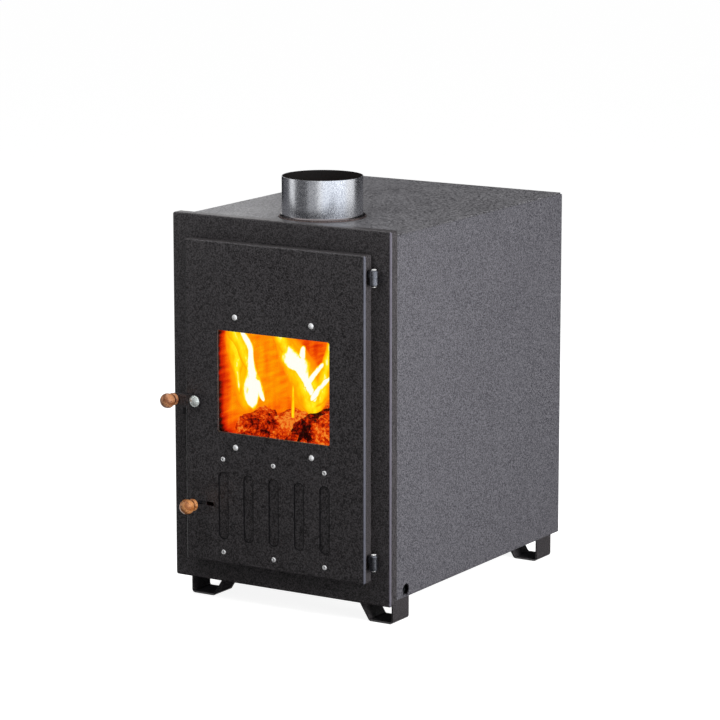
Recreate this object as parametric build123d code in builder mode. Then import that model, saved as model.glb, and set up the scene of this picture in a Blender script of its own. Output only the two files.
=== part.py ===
from build123d import *
import os

os.makedirs("parts", exist_ok=True)

# Hot tub wood stove: a firebox in a water jacket, inside a powder-coated sheet casing.
# X runs to the right, Y to the back and Z up, seen from the door.
# The origin is on the floor, under the middle of the whole outline.

# Casing sheets
panel_w = 438.0
panel_h = 640.0
panel_return = 20.0
casing_depth = 595.0
casing_step = 7.5
sheet = 2.0
bend_r = 3.0
corner_r = 4.0
flange_w = 20.0
cover_inset = 4.0
sheet_gap = 0.5

# Feet
foot_drop = 38.0
foot_strip = 3.0
foot_bend = 5.0
foot_depth = 52.0
foot_flat = 48.0
foot_slope = 28.0
foot_tab = 20.0
foot_inset = 13.0
foot_front = 30.0
foot_rear = 7.0

# Door tray
door_w = 362.0
door_h = 560.0
door_return = 20.0
door_gap = 3.5
door_shift = 1.5
door_low = 40.0

# Door rope seal and the frame that holds it
rope_r = 4.0
rope_nip = 0.3
rope_clear = 0.1
seal_wall = 1.5
seal_lip = 5.0
seal_land = 8.0
rope_corner = 12.0

# Window
window_w = 226.0
window_h = 177.0
window_mid = 359.5
window_r = 4.0
glass_t = 4.0
glass_lap = 9.0
tape_t = 2.0
tape_w = 7.0

# Glass bolts and clamps
glass_bolt_r = 3.0
glass_bolt_dx = 153.4
glass_bolt_dz = 226.0
glass_dome_r = 5.2
glass_dome_h = 3.3
glass_nut_af = 10.0
glass_nut_h = 5.0
clamp_t = 2.0
clamp_foot = 14.0
clamp_reach = 11.0
clamp_end = 23.0
bolt_clear = 0.2

# Air vents, their slide and its guides
vent_count = 5
vent_pitch = 51.3
vent_w = 21.0
vent_h = 119.0
vent_mid = 141.5
vent_rim = 6.0
slide_t = 2.0
slide_clear = 0.2
slide_end = 8.0
slide_edge_gap = 0.5
guide_row = 81.9
guide_t = 1.5
guide_foot = 9.0
guide_reach = 6.5
guide_end = 12.0
rivet_r = 2.0
rivet_head_r = 4.2
rivet_head_h = 1.3
rivet_core_r = 1.3
rivet_tail_r = 3.0

# Air slide knob
stem_r = 3.0
stem_x = -151.5
stem_slot_clear = 0.5
knob_standoff = 19.5

# Turned wooden knobs
knob_len = 33.0
knob_ball_r = 13.0
knob_collar_r = 10.8
knob_collar_h = 7.0
knob_neck_r = 6.8
knob_bore = 16.0

# Latch lever on its carriage bolt
latch_z = 320.0
latch_in = 23.0
latch_arm = 42.0
lever_half = 10.0
lever_t = 4.0
latch_bolt_r = 5.0
latch_dome_r = 10.0
latch_dome_h = 5.2
latch_nut_af = 17.0
latch_nut_h = 8.0
latch_washer_t = 2.3
running_fit = 0.05
face_gap = 0.2
knob_screw_r = 2.5
knob_screw_head_r = 4.5
knob_screw_head_h = 3.0

# Latch hook and the catch that it drops behind
hook_t = 3.5
hook_top = 6.0
hook_under = 6.0
hook_drop = 16.0
hook_leg = 4.0
hook_rear_gap = 2.5
hook_side_gap = 6.0
catch_t = 2.5
catch_w = 13.7
catch_out = 10.0
catch_side_gap = 0.8
catch_clear = 2.0
catch_h = 12.0

# Hinges
hinge_dz = 485.0
hinge_len = 28.0
hinge_r = 7.5
hinge_side = 10.5
hinge_out = 12.0
hinge_pin_r = 3.5
hinge_pin_end = 3.5
hinge_end_r = 3.5
hinge_gap = 0.6
hinge_leaf_t = 3.0
hinge_tab_t = 7.0
notch_h = 23.0
notch_deep = 13.0

# Firebox, water jacket and what they hold
fire_t = 4.0
fire_depth = 494.0
fire_headroom = 24.0
jacket_t = 3.0
jacket_side_gap = 23.0
jacket_top_gap = 25.5
jacket_front_gap = 10.0
jacket_rear_gap = 50.0
grate_z = 237.0
grate_t = 12.0
grate_gap = 4.0
grate_bar = 15.0
grate_slot_w = 12.0
grate_taper = 8.0
grate_rows = 2
grate_rim = 18.0
rail_leg = 20.0
rail_t = 3.0
rail_end_gap = 20.0
baffle_z = 470.0
baffle_t = 4.0
baffle_len = 370.0
baffle_gap = 2.0
baffle_leg = 14.0
ash_w = 270.0
ash_l = 390.0
ash_h = 60.0
ash_t = 1.5
ash_lip = 14.0
ash_front = 24.0

# Smoke tube and flue spigot
flue_r = 70.0
flue_wall = 2.0
flue_out = 70.0
flue_back = 135.0
flue_foot_w = 4.0
flue_foot_h = 5.0
smoke_gap = 0.5
smoke_wall = 3.0
smoke_lap = 15.0

# Water and drain connections
water_r = 30.0
water_wall = 2.0
water_out = 60.0
water_gap = 1.0
water_collar_w = 7.0
water_collar_t = 3.0
water_low = 110.0
water_high = 530.0
drain_r = 8.6
drain_bore_r = 6.4
drain_recess = 7.0
drain_back = 50.2
drain_high = 20.4
drain_hole_r = 11.0

# Rear panel screws
rear_screw_r = 2.0
rear_screw_head_r = 4.5
rear_screw_head_h = 2.6
rear_screw_in = 14.0
rear_screw_rows = 3

# Main planes, worked out from the sizes above
knob_reach = door_gap + door_return + knob_standoff + knob_len
front_y = (knob_reach - casing_depth - sheet - water_out) / 2
rear_y = front_y + casing_depth
panel_back_y = front_y + sheet
side_front_y = front_y + panel_return
panel_z = foot_drop
panel_top_z = panel_z + panel_h
casing_z0 = panel_z + casing_step
casing_z1 = panel_top_z - casing_step - sheet
cover_z = casing_z1 + sheet
base_z = casing_z0 + sheet
base_top_z = base_z + sheet
half_w = panel_w / 2
door_front_y = front_y - door_gap - door_return
door_back_y = door_front_y + sheet
door_z0 = panel_z + door_low
door_z = door_z0 + door_h / 2
door_left_x = door_shift - door_w / 2
door_right_x = door_shift + door_w / 2
seal_w = 2 * (rope_r + rope_clear + seal_wall)
seal_outer_w = door_w - 2 * bend_r
seal_outer_h = door_h - 2 * bend_r
rope_w = seal_outer_w - seal_w
rope_h = seal_outer_h - seal_w
opening_w = rope_w - 2 * seal_land
opening_z0 = door_z - rope_h / 2 + seal_land
opening_z1 = door_z + rope_h / 2 - seal_land - fire_headroom
opening_h = opening_z1 - opening_z0
opening_z = (opening_z0 + opening_z1) / 2
window_z = panel_z + window_mid
vent_z = panel_z + vent_mid
vent_travel = vent_pitch / 2
jacket_y0 = panel_back_y + jacket_front_gap
jacket_y1 = rear_y - jacket_rear_gap
jacket_x = half_w - jacket_side_gap
jacket_z1 = casing_z1 - jacket_top_gap
fire_y1 = panel_back_y + fire_depth + fire_t
fire_top_z = opening_z1 + fire_t
flue_y = front_y + flue_back
smoke_r = flue_r - flue_wall - smoke_gap


def across(y):
    """Plane across the stove at depth y: sketches read x and z and extrude to the front."""
    return Plane.XZ.offset(-y)


def row(count, pitch):
    """Evenly spaced places about zero."""
    return [(i - (count - 1) / 2) * pitch for i in range(count)]


# Front panel: a tray with bent returns, the fire opening and rounded corners
with BuildPart() as front_panel:
    with BuildSketch(across(side_front_y)):
        with Locations((0, panel_z + panel_h / 2)):
            RectangleRounded(panel_w, panel_h, corner_r)
    extrude(amount=panel_return)
    fillet(front_panel.faces().sort_by(Axis.Y)[0].edges(), bend_r)
    offset(amount=-sheet, openings=front_panel.faces().sort_by(Axis.Y)[-1])
    with BuildSketch(across(panel_back_y)):
        with Locations((door_shift, opening_z)):
            Rectangle(opening_w, opening_h)
    extrude(amount=sheet, mode=Mode.SUBTRACT)
front_panel.part.label = "front_panel"
export_step(front_panel.part, "parts/front_panel.step")

# Side panels: trays with their flanges turned inwards
side_l = casing_depth - panel_return
side_h = casing_z1 - casing_z0
side_mid_y = side_front_y + side_l / 2
side_mid_z = (casing_z0 + casing_z1) / 2
rear_screw_x = half_w - rear_screw_in
rear_screw_pitch = (side_h - 2 * flange_w) / (rear_screw_rows - 1)
rear_screw_zs = [side_mid_z + dz for dz in row(rear_screw_rows, rear_screw_pitch)]
rear_screw_spots = [(side * rear_screw_x, z) for side in (-1, 1) for z in rear_screw_zs]
for side, label in ((-1, "side_panel_left"), (1, "side_panel_right")):
    with BuildPart() as side_panel:
        with BuildSketch(Plane.YZ.offset(side * (half_w - flange_w))):
            with Locations((side_mid_y, side_mid_z)):
                Rectangle(side_l, side_h)
        extrude(amount=side * flange_w)
        outer_face = side_panel.faces().sort_by(Axis.X)[-1 if side > 0 else 0]
        fillet(outer_face.edges().sort_by(Axis.Y)[1:], bend_r)
        inner_face = side_panel.faces().sort_by(Axis.X)[0 if side > 0 else -1]
        offset(amount=-sheet, openings=inner_face)
        with BuildSketch(across(rear_y)):
            with Locations(*rear_screw_spots):
                Circle(rear_screw_r + bolt_clear)
        extrude(amount=2 * sheet, mode=Mode.SUBTRACT)
        if side > 0:
            with BuildSketch(Plane.YZ.offset(half_w - sheet)):
                with Locations((front_y + drain_back, panel_z + drain_high)):
                    Circle(drain_hole_r)
            extrude(amount=sheet, mode=Mode.SUBTRACT)
    side_panel.part.label = label
    export_step(side_panel.part, f"parts/{label}.step")

# Rear panel: a flat sheet on the side panels' rear flanges, with two pipe holes
rear_h = side_h - 2 * cover_inset
with BuildPart() as rear_panel:
    with BuildSketch(across(rear_y + sheet)):
        with Locations((0, side_mid_z)):
            RectangleRounded(panel_w - 2 * cover_inset, rear_h, corner_r)
        with Locations((0, panel_z + water_low), (0, panel_z + water_high)):
            Circle(water_r + water_gap, mode=Mode.SUBTRACT)
        with Locations(*rear_screw_spots):
            Circle(rear_screw_r + bolt_clear, mode=Mode.SUBTRACT)
    extrude(amount=sheet)
rear_panel.part.label = "rear_panel"
export_step(rear_panel.part, "parts/rear_panel.step")

# Rear panel screws, with plain pan heads
with BuildPart() as rear_panel_screws:
    with BuildSketch(across(rear_y + sheet)):
        with Locations(*rear_screw_spots):
            Circle(rear_screw_r)
    extrude(amount=3 * sheet)
    with BuildSketch(across(rear_y + sheet + rear_screw_head_h)):
        with Locations(*rear_screw_spots):
            Circle(rear_screw_head_r)
    extrude(amount=rear_screw_head_h)
    chamfer(rear_panel_screws.faces().group_by(Axis.Y)[-1].edges(), rear_screw_head_h / 2)
rear_panel_screws.part.label = "rear_panel_screws"
export_step(rear_panel_screws.part, "parts/rear_panel_screws.step")

# Top cover: lies on the side panels' top flanges and runs in under the front panel's return
cover_y0 = panel_back_y + sheet_gap
cover_l = rear_y + sheet - cover_y0
with BuildPart() as top_cover:
    with BuildSketch(Plane.XY.offset(casing_z1)):
        with Locations((0, cover_y0 + cover_l / 2)):
            RectangleRounded(panel_w - 2 * cover_inset, cover_l, corner_r)
        with Locations((0, flue_y)):
            Circle(smoke_r + smoke_gap, mode=Mode.SUBTRACT)
    extrude(amount=sheet)
top_cover.part.label = "top_cover"
export_step(top_cover.part, "parts/top_cover.step")

# Base plate: lies on the side panels' bottom flanges, between their front and rear ones
base_y0 = side_front_y + sheet + sheet_gap
base_l = rear_y - bend_r - base_y0
with BuildPart() as base_plate:
    with BuildSketch(Plane.XY.offset(base_z)):
        with Locations((0, base_y0 + base_l / 2)):
            RectangleRounded(panel_w - 2 * bend_r, base_l, corner_r)
    extrude(amount=sheet)
base_plate.part.label = "base_plate"
export_step(base_plate.part, "parts/base_plate.step")

# Feet: bent strips, with one tab under the side flange and one under the base plate
foot_out_x = half_w - foot_inset - foot_strip / 2
foot_low_z = foot_strip / 2
foot_slope_x = foot_out_x - foot_flat + foot_strip
foot_top_x = foot_slope_x - foot_slope
foot_path = (
    (foot_out_x - foot_tab, casing_z0 - foot_strip / 2),
    (foot_out_x, casing_z0 - foot_strip / 2),
    (foot_out_x, foot_low_z),
    (foot_slope_x, foot_low_z),
    (foot_top_x, base_z - foot_strip / 2),
    (foot_top_x - foot_tab, base_z - foot_strip / 2),
)
foot_front_y = front_y + foot_front + foot_depth
foot_rear_y = rear_y - foot_rear
foot_places = (
    ("foot_front_left", -1, foot_front_y),
    ("foot_front_right", 1, foot_front_y),
    ("foot_rear_left", -1, foot_rear_y),
    ("foot_rear_right", 1, foot_rear_y),
)
for label, side, foot_y in foot_places:
    with BuildPart() as foot:
        with BuildSketch(across(foot_y)):
            with BuildLine():
                FilletPolyline(*[(side * x, z) for x, z in foot_path], radius=foot_bend)
                offset(amount=foot_strip / 2)
            make_face()
        extrude(amount=foot_depth)
    foot.part.label = label
    export_step(foot.part, f"parts/{label}.step")

# Firebox: welded plate box, open to the door, with the flue hole in its top
with BuildPart() as firebox:
    with BuildSketch(across(fire_y1)):
        with Locations((door_shift, opening_z)):
            Rectangle(opening_w + 2 * fire_t, opening_h + 2 * fire_t)
    extrude(amount=fire_y1 - panel_back_y)
    offset(amount=-fire_t, openings=firebox.faces().sort_by(Axis.Y)[0])
    with BuildSketch(Plane.XY.offset(opening_z1)):
        with Locations((0, flue_y)):
            Circle(smoke_r - smoke_wall)
    extrude(amount=fire_t, mode=Mode.SUBTRACT)
firebox.part.label = "firebox"
export_step(firebox.part, "parts/firebox.step")

# Water jacket: a closed shell round the firebox, open for the flue, the pipes and the drain
jacket_h = jacket_z1 - base_top_z
with BuildPart() as water_jacket:
    with BuildSketch(across(jacket_y1)):
        with Locations((0, base_top_z + jacket_h / 2)):
            Rectangle(2 * jacket_x, jacket_h)
    extrude(amount=jacket_y1 - jacket_y0)
    with BuildSketch(across(jacket_y1 - jacket_t)):
        with Locations((0, base_top_z + jacket_h / 2)):
            Rectangle(2 * (jacket_x - jacket_t), jacket_h - 2 * jacket_t)
    extrude(amount=jacket_y1 - jacket_y0 - 2 * jacket_t, mode=Mode.SUBTRACT)
    with BuildSketch(across(jacket_y0 + jacket_t)):
        with Locations((door_shift, opening_z)):
            Rectangle(opening_w + 2 * fire_t, opening_h + 2 * fire_t)
    extrude(amount=jacket_t, mode=Mode.SUBTRACT)
    with BuildSketch(Plane.XY.offset(jacket_z1 - jacket_t)):
        with Locations((0, flue_y)):
            Circle(smoke_r)
    extrude(amount=jacket_t, mode=Mode.SUBTRACT)
    with BuildSketch(across(jacket_y1)):
        with Locations((0, panel_z + water_low), (0, panel_z + water_high)):
            Circle(water_r - water_wall)
    extrude(amount=jacket_t, mode=Mode.SUBTRACT)
    with BuildSketch(Plane.YZ.offset(jacket_x - jacket_t)):
        with Locations((front_y + drain_back, panel_z + drain_high)):
            Circle(drain_bore_r)
    extrude(amount=jacket_t, mode=Mode.SUBTRACT)
water_jacket.part.label = "water_jacket"
export_step(water_jacket.part, "parts/water_jacket.step")

# Water pipes: stubs from the jacket's rear wall, each with a collar on the rear panel
for label, pipe_high in (("water_pipe_return", water_low), ("water_pipe_flow", water_high)):
    with BuildPart() as water_pipe:
        with BuildSketch(across(rear_y + sheet + water_out)):
            with Locations((0, panel_z + pipe_high)):
                Circle(water_r)
        extrude(amount=rear_y + sheet + water_out - jacket_y1)
        with BuildSketch(across(rear_y + sheet + water_collar_t)):
            with Locations((0, panel_z + pipe_high)):
                Circle(water_r + water_collar_w)
        extrude(amount=water_collar_t)
        with BuildSketch(across(rear_y + sheet + water_out)):
            with Locations((0, panel_z + pipe_high)):
                Circle(water_r - water_wall)
        extrude(amount=rear_y + sheet + water_out - jacket_y1, mode=Mode.SUBTRACT)
    water_pipe.part.label = label
    export_step(water_pipe.part, f"parts/{label}.step")

# Drain pipe: a threaded socket recessed behind the hole in the right side panel
with BuildPart() as drain_pipe:
    with BuildSketch(Plane.YZ.offset(jacket_x)):
        with Locations((front_y + drain_back, panel_z + drain_high)):
            Circle(drain_r)
            Circle(drain_bore_r, mode=Mode.SUBTRACT)
    extrude(amount=half_w - drain_recess - jacket_x)
drain_pipe.part.label = "drain_pipe"
export_step(drain_pipe.part, "parts/drain_pipe.step")

# Smoke tube: welded to the firebox, it runs up through the jacket and into the spigot
with BuildPart() as smoke_tube:
    with BuildSketch(Plane.XY.offset(fire_top_z)):
        with Locations((0, flue_y)):
            Circle(smoke_r)
            Circle(smoke_r - smoke_wall, mode=Mode.SUBTRACT)
    extrude(amount=cover_z + smoke_lap - fire_top_z)
smoke_tube.part.label = "smoke_tube"
export_step(smoke_tube.part, "parts/smoke_tube.step")

# Flue spigot: stands on the top cover by its turned-out foot
with BuildPart() as flue_spigot:
    with BuildSketch(Plane.XY.offset(cover_z)):
        with Locations((0, flue_y)):
            Circle(flue_r)
            Circle(flue_r - flue_wall, mode=Mode.SUBTRACT)
    extrude(amount=flue_out)
    with BuildSketch(Plane.XY.offset(cover_z)):
        with Locations((0, flue_y)):
            Circle(flue_r + flue_foot_w)
            Circle(flue_r - flue_wall, mode=Mode.SUBTRACT)
    extrude(amount=flue_foot_h)
    foot_edges = flue_spigot.edges().filter_by(GeomType.CIRCLE).group_by(Axis.Z)[1]
    chamfer(foot_edges.sort_by(SortBy.RADIUS)[-1], flue_foot_w / 2)
flue_spigot.part.label = "flue_spigot"
export_step(flue_spigot.part, "parts/flue_spigot.step")


def wall_rails(leg, top_z, length):
    """Pair of angle rails on the firebox walls, their level legs' top at top_z."""
    rail_y1 = panel_back_y + rail_end_gap + length
    with BuildPart() as rails:
        for side in (-1, 1):
            wall_x = door_shift + side * opening_w / 2
            with BuildSketch(across(rail_y1)):
                with Locations((wall_x - side * rail_t / 2, top_z - leg / 2)):
                    Rectangle(rail_t, leg)
                with Locations((wall_x - side * leg / 2, top_z - rail_t / 2)):
                    Rectangle(leg, rail_t)
            extrude(amount=length)
    return rails


# Grate rails and baffle rails
grate_rails = wall_rails(rail_leg, panel_z + grate_z - grate_t, fire_depth - 2 * rail_end_gap)
grate_rails.part.label = "grate_rails"
export_step(grate_rails.part, "parts/grate_rails.step")
baffle_rails = wall_rails(baffle_leg, panel_z + baffle_z, baffle_len - rail_end_gap)
baffle_rails.part.label = "baffle_rails"
export_step(baffle_rails.part, "parts/baffle_rails.step")

# Grate: a cast slab whose slots widen downwards, so that ash falls through them
grate_w = opening_w - 2 * grate_gap
grate_l = fire_depth - 2 * grate_gap
grate_top_z = panel_z + grate_z
grate_pitch = grate_slot_w + grate_bar
grate_columns = int((grate_w - 2 * grate_rim + grate_bar) // grate_pitch)
grate_slot_l = (grate_l - (grate_rows + 1) * grate_rim) / grate_rows
grate_y = panel_back_y + fire_depth / 2
with BuildPart() as grate:
    with BuildSketch(Plane.XY.offset(grate_top_z - grate_t)):
        with Locations((door_shift, grate_y)):
            RectangleRounded(grate_w, grate_l, corner_r)
    extrude(amount=grate_t)
    with BuildSketch(Plane.XY.offset(grate_top_z)):
        with Locations((door_shift, grate_y)):
            with GridLocations(grate_pitch, grate_slot_l + grate_rim, grate_columns, grate_rows):
                Rectangle(grate_slot_w, grate_slot_l)
    extrude(amount=-grate_t, taper=-grate_taper, mode=Mode.SUBTRACT)
grate.part.label = "grate"
export_step(grate.part, "parts/grate.step")

# Baffle plate: turns the smoke to the back before it reaches the flue
with BuildPart() as baffle_plate:
    with BuildSketch(Plane.XY.offset(panel_z + baffle_z)):
        with Locations((door_shift, panel_back_y + baffle_gap + baffle_len / 2)):
            Rectangle(opening_w - 2 * baffle_gap, baffle_len)
    extrude(amount=baffle_t)
baffle_plate.part.label = "baffle_plate"
export_step(baffle_plate.part, "parts/baffle_plate.step")

# Ash pan: a thin tray on the firebox floor, with a lip to pull it by
ash_y0 = panel_back_y + ash_front
with BuildPart() as ash_pan:
    with BuildSketch(Plane.XY.offset(opening_z0)):
        with Locations((door_shift, ash_y0 + ash_l / 2)):
            RectangleRounded(ash_w, ash_l, corner_r)
    extrude(amount=ash_h)
    offset(amount=-ash_t, openings=ash_pan.faces().sort_by(Axis.Z)[-1])
    with BuildSketch(Plane.XY.offset(opening_z0 + ash_h - ash_t)):
        with Locations((door_shift, ash_y0 - ash_lip / 2)):
            Rectangle(ash_w - 4 * corner_r, ash_lip)
    extrude(amount=ash_t)
ash_pan.part.label = "ash_pan"
export_step(ash_pan.part, "parts/ash_pan.step")

# Places on the door
latch_x = door_left_x + latch_in
latch_pivot_z = panel_z + latch_z
hinge_x = door_right_x + hinge_side
hinge_y = front_y - hinge_out
hinge_mid_z = panel_z + panel_h / 2
hinge_zs = (("lower", hinge_mid_z - hinge_dz / 2), ("upper", hinge_mid_z + hinge_dz / 2))
glass_bolt_spots = [
    (x, window_z + dz) for x in row(2, glass_bolt_dx) for dz in (-glass_bolt_dz / 2, glass_bolt_dz / 2)
]
vent_xs = row(vent_count, vent_pitch)
rivet_xs = (vent_xs[0], vent_xs[vent_count // 2], vent_xs[-1])
rivet_spots = [(x, vent_z + dz) for x in rivet_xs for dz in (-guide_row, guide_row)]
stem_slot_w = vent_travel + 2 * (stem_r + stem_slot_clear)
stem_slot_x = stem_x + vent_travel / 2

# Door: a tray with the window, the air vents and the notches for the hinge leaves
with BuildPart() as door_panel:
    with BuildSketch(across(front_y - door_gap)):
        with Locations((door_shift, door_z)):
            RectangleRounded(door_w, door_h, corner_r)
    extrude(amount=door_return)
    fillet(door_panel.faces().sort_by(Axis.Y)[0].edges(), bend_r)
    offset(amount=-sheet, openings=door_panel.faces().sort_by(Axis.Y)[-1])
    with BuildSketch(across(door_back_y)):
        with Locations((0, window_z)):
            RectangleRounded(window_w, window_h, window_r)
        with Locations(*[(x, vent_z) for x in vent_xs]):
            SlotOverall(vent_h, vent_w, rotation=90)
        with Locations((stem_slot_x, vent_z)):
            SlotOverall(stem_slot_w, 2 * (stem_r + stem_slot_clear))
        with Locations(*glass_bolt_spots):
            Circle(glass_bolt_r + bolt_clear)
        with Locations(*rivet_spots):
            Circle(rivet_r + running_fit)
        with Locations((latch_x, latch_pivot_z)):
            Circle(latch_bolt_r + bolt_clear)
    extrude(amount=sheet, mode=Mode.SUBTRACT)
    with BuildSketch(across(front_y - door_gap)):
        with Locations(*[(door_right_x - sheet / 2, z) for _, z in hinge_zs]):
            Rectangle(2 * sheet, notch_h)
    extrude(amount=notch_deep, mode=Mode.SUBTRACT)
door_panel.part.label = "door_panel"
export_step(door_panel.part, "parts/door_panel.step")

# Seal frame: two welded walls round the door, joined by a web that carries the rope
seal_y1 = front_y - seal_lip
web_y1 = front_y - rope_nip - 2 * rope_r
groove_w = 2 * (rope_r + rope_clear)
with BuildPart() as seal_frame:
    with BuildSketch(across(seal_y1)):
        with Locations((door_shift, door_z)):
            RectangleRounded(rope_w + seal_w, rope_h + seal_w, rope_corner + seal_w / 2)
            RectangleRounded(rope_w - seal_w, rope_h - seal_w, rope_corner - seal_w / 2, mode=Mode.SUBTRACT)
    extrude(amount=seal_y1 - door_back_y)
    for groove_y1, groove_y0 in ((seal_y1, web_y1), (web_y1 - seal_wall, door_back_y)):
        with BuildSketch(across(groove_y1)):
            with Locations((door_shift, door_z)):
                RectangleRounded(rope_w + groove_w, rope_h + groove_w, rope_corner + groove_w / 2)
                RectangleRounded(
                    rope_w - groove_w, rope_h - groove_w, rope_corner - groove_w / 2, mode=Mode.SUBTRACT
                )
        extrude(amount=groove_y1 - groove_y0, mode=Mode.SUBTRACT)
seal_frame.part.label = "seal_frame"
export_step(seal_frame.part, "parts/seal_frame.step")

# Rope seal: a round glass-fibre rope lying in the frame's groove
rope_y = web_y1 + rope_r
with BuildSketch(across(rope_y)) as rope_ring:
    with Locations((door_shift, door_z)):
        RectangleRounded(rope_w, rope_h, rope_corner)
rope_path = rope_ring.sketch.wire()
with BuildPart() as rope_seal:
    with BuildSketch(Plane(rope_path @ 0, z_dir=rope_path % 0)):
        Circle(rope_r)
    sweep(path=rope_path)
rope_seal.part.label = "rope_seal"
export_step(rope_seal.part, "parts/rope_seal.step")

# Window glass and the flat tape between it and the door
with BuildPart() as glass_tape:
    with BuildSketch(across(door_back_y + tape_t)):
        with Locations((0, window_z)):
            RectangleRounded(window_w + 2 * tape_w, window_h + 2 * tape_w, window_r)
            RectangleRounded(window_w, window_h, window_r, mode=Mode.SUBTRACT)
    extrude(amount=tape_t)
glass_tape.part.label = "glass_tape"
export_step(glass_tape.part, "parts/glass_tape.step")
with BuildPart() as window_glass:
    with BuildSketch(across(door_back_y + tape_t + glass_t)):
        with Locations((0, window_z)):
            RectangleRounded(window_w + 2 * glass_lap, window_h + 2 * glass_lap, window_r)
    extrude(amount=glass_t)
window_glass.part.label = "window_glass"
export_step(window_glass.part, "parts/window_glass.step")


def joggled_strip(hole_xs, row_z, toward, strip_t, rise, foot, reach, end, hole_r):
    """Strip fixed to the door's back along row_z, stepped off it to hold the edge on its toward side."""
    foot_z = row_z - toward * foot / 2
    step_z = row_z + toward * foot / 2
    held_z = step_z + toward * strip_t
    tip_z = held_z + toward * reach
    length = hole_xs[-1] - hole_xs[0] + 2 * end
    with BuildPart() as strip:
        with BuildSketch(Plane.YZ.offset(hole_xs[0] - end)):
            with BuildLine():
                Polyline(
                    (door_back_y, foot_z),
                    (door_back_y + strip_t, foot_z),
                    (door_back_y + strip_t, step_z),
                    (door_back_y + rise + strip_t, step_z),
                    (door_back_y + rise + strip_t, tip_z),
                    (door_back_y + rise, tip_z),
                    (door_back_y + rise, held_z),
                    (door_back_y, held_z),
                    close=True,
                )
            make_face()
        extrude(amount=length)
        with BuildSketch(across(door_back_y + strip_t)):
            with Locations(*[(x, row_z) for x in hole_xs]):
                Circle(hole_r)
        extrude(amount=strip_t, mode=Mode.SUBTRACT)
    return strip


# Glass clamps, above and below the window
glass_bolt_xs = row(2, glass_bolt_dx)
clamp_rise = tape_t + glass_t
clamp_hole_r = glass_bolt_r + bolt_clear
for label, toward in (("glass_clamp_lower", 1), ("glass_clamp_upper", -1)):
    clamp_z = window_z - toward * glass_bolt_dz / 2
    clamp = joggled_strip(
        glass_bolt_xs, clamp_z, toward, clamp_t, clamp_rise, clamp_foot, clamp_reach, clamp_end, clamp_hole_r
    )
    clamp.part.label = label
    export_step(clamp.part, f"parts/{label}.step")

# Slide guides, above and below the air vents
guide_rise = slide_t + 2 * slide_clear
guide_hole_r = rivet_r + running_fit
for label, toward in (("slide_guide_lower", 1), ("slide_guide_upper", -1)):
    guide_z = vent_z - toward * guide_row
    guide = joggled_strip(
        rivet_xs, guide_z, toward, guide_t, guide_rise, guide_foot, guide_reach, guide_end, guide_hole_r
    )
    guide.part.label = label
    export_step(guide.part, f"parts/{label}.step")


def turned_profile(x, z, outline):
    """Half section of a body turned about Y through x, z, from points given as radius and depth."""
    with BuildSketch(Plane.XY.offset(z)) as profile:
        with BuildLine():
            Polyline(*[(x + r, y) for r, y in outline], close=True)
        make_face()
    return profile.sketch


def dome_bolt_profile(x, z, seat_y, end_y, shank_r, dome_r, dome_h):
    """Half section of a dome-headed bolt along Y, its head seated at seat_y, its shank ending at end_y."""
    ball_r = (dome_r**2 + dome_h**2) / (2 * dome_h)
    mid_h = (ball_r**2 - dome_r**2 / 4) ** 0.5 - ball_r + dome_h
    with BuildSketch(Plane.XY.offset(z)) as profile:
        with BuildLine():
            Polyline(
                (x, seat_y - dome_h),
                (x, end_y),
                (x + shank_r, end_y),
                (x + shank_r, seat_y),
                (x + dome_r, seat_y),
            )
            ThreePointArc((x + dome_r, seat_y), (x + dome_r / 2, seat_y - mid_h), (x, seat_y - dome_h))
        make_face()
    return profile.sketch


# Glass bolts and their nuts
glass_nut_y1 = door_back_y + clamp_t + glass_nut_h
glass_bolt_y1 = glass_nut_y1 + face_gap
with BuildPart() as glass_bolts:
    for x, z in glass_bolt_spots:
        bolt_profile = dome_bolt_profile(
            x, z, door_front_y, glass_bolt_y1, glass_bolt_r, glass_dome_r, glass_dome_h
        )
        revolve(bolt_profile, axis=Axis((x, 0, z), (0, 1, 0)))
glass_bolts.part.label = "glass_bolts"
export_step(glass_bolts.part, "parts/glass_bolts.step")
with BuildPart() as glass_nuts:
    with BuildSketch(across(glass_nut_y1)):
        with Locations(*glass_bolt_spots):
            RegularPolygon(glass_nut_af / 2, 6, major_radius=False)
            Circle(glass_bolt_r + running_fit, mode=Mode.SUBTRACT)
    extrude(amount=glass_nut_h)
glass_nuts.part.label = "glass_nuts"
export_step(glass_nuts.part, "parts/glass_nuts.step")

# Guide rivets: blind rivets, hollow in the middle of their heads
rivet_tail_y = door_back_y + guide_t
with BuildPart() as guide_rivets:
    for x, z in rivet_spots:
        rivet_profile = turned_profile(
            x,
            z,
            (
                (rivet_core_r, door_front_y - rivet_head_h),
                (rivet_head_r, door_front_y - rivet_head_h / 3),
                (rivet_head_r, door_front_y),
                (rivet_r, door_front_y),
                (rivet_r, rivet_tail_y),
                (rivet_tail_r, rivet_tail_y),
                (0, rivet_tail_y + rivet_tail_r / 2),
                (0, door_front_y),
                (rivet_core_r, door_front_y),
            ),
        )
        revolve(rivet_profile, axis=Axis((x, 0, z), (0, 1, 0)))
guide_rivets.part.label = "guide_rivets"
export_step(guide_rivets.part, "parts/guide_rivets.step")

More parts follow.
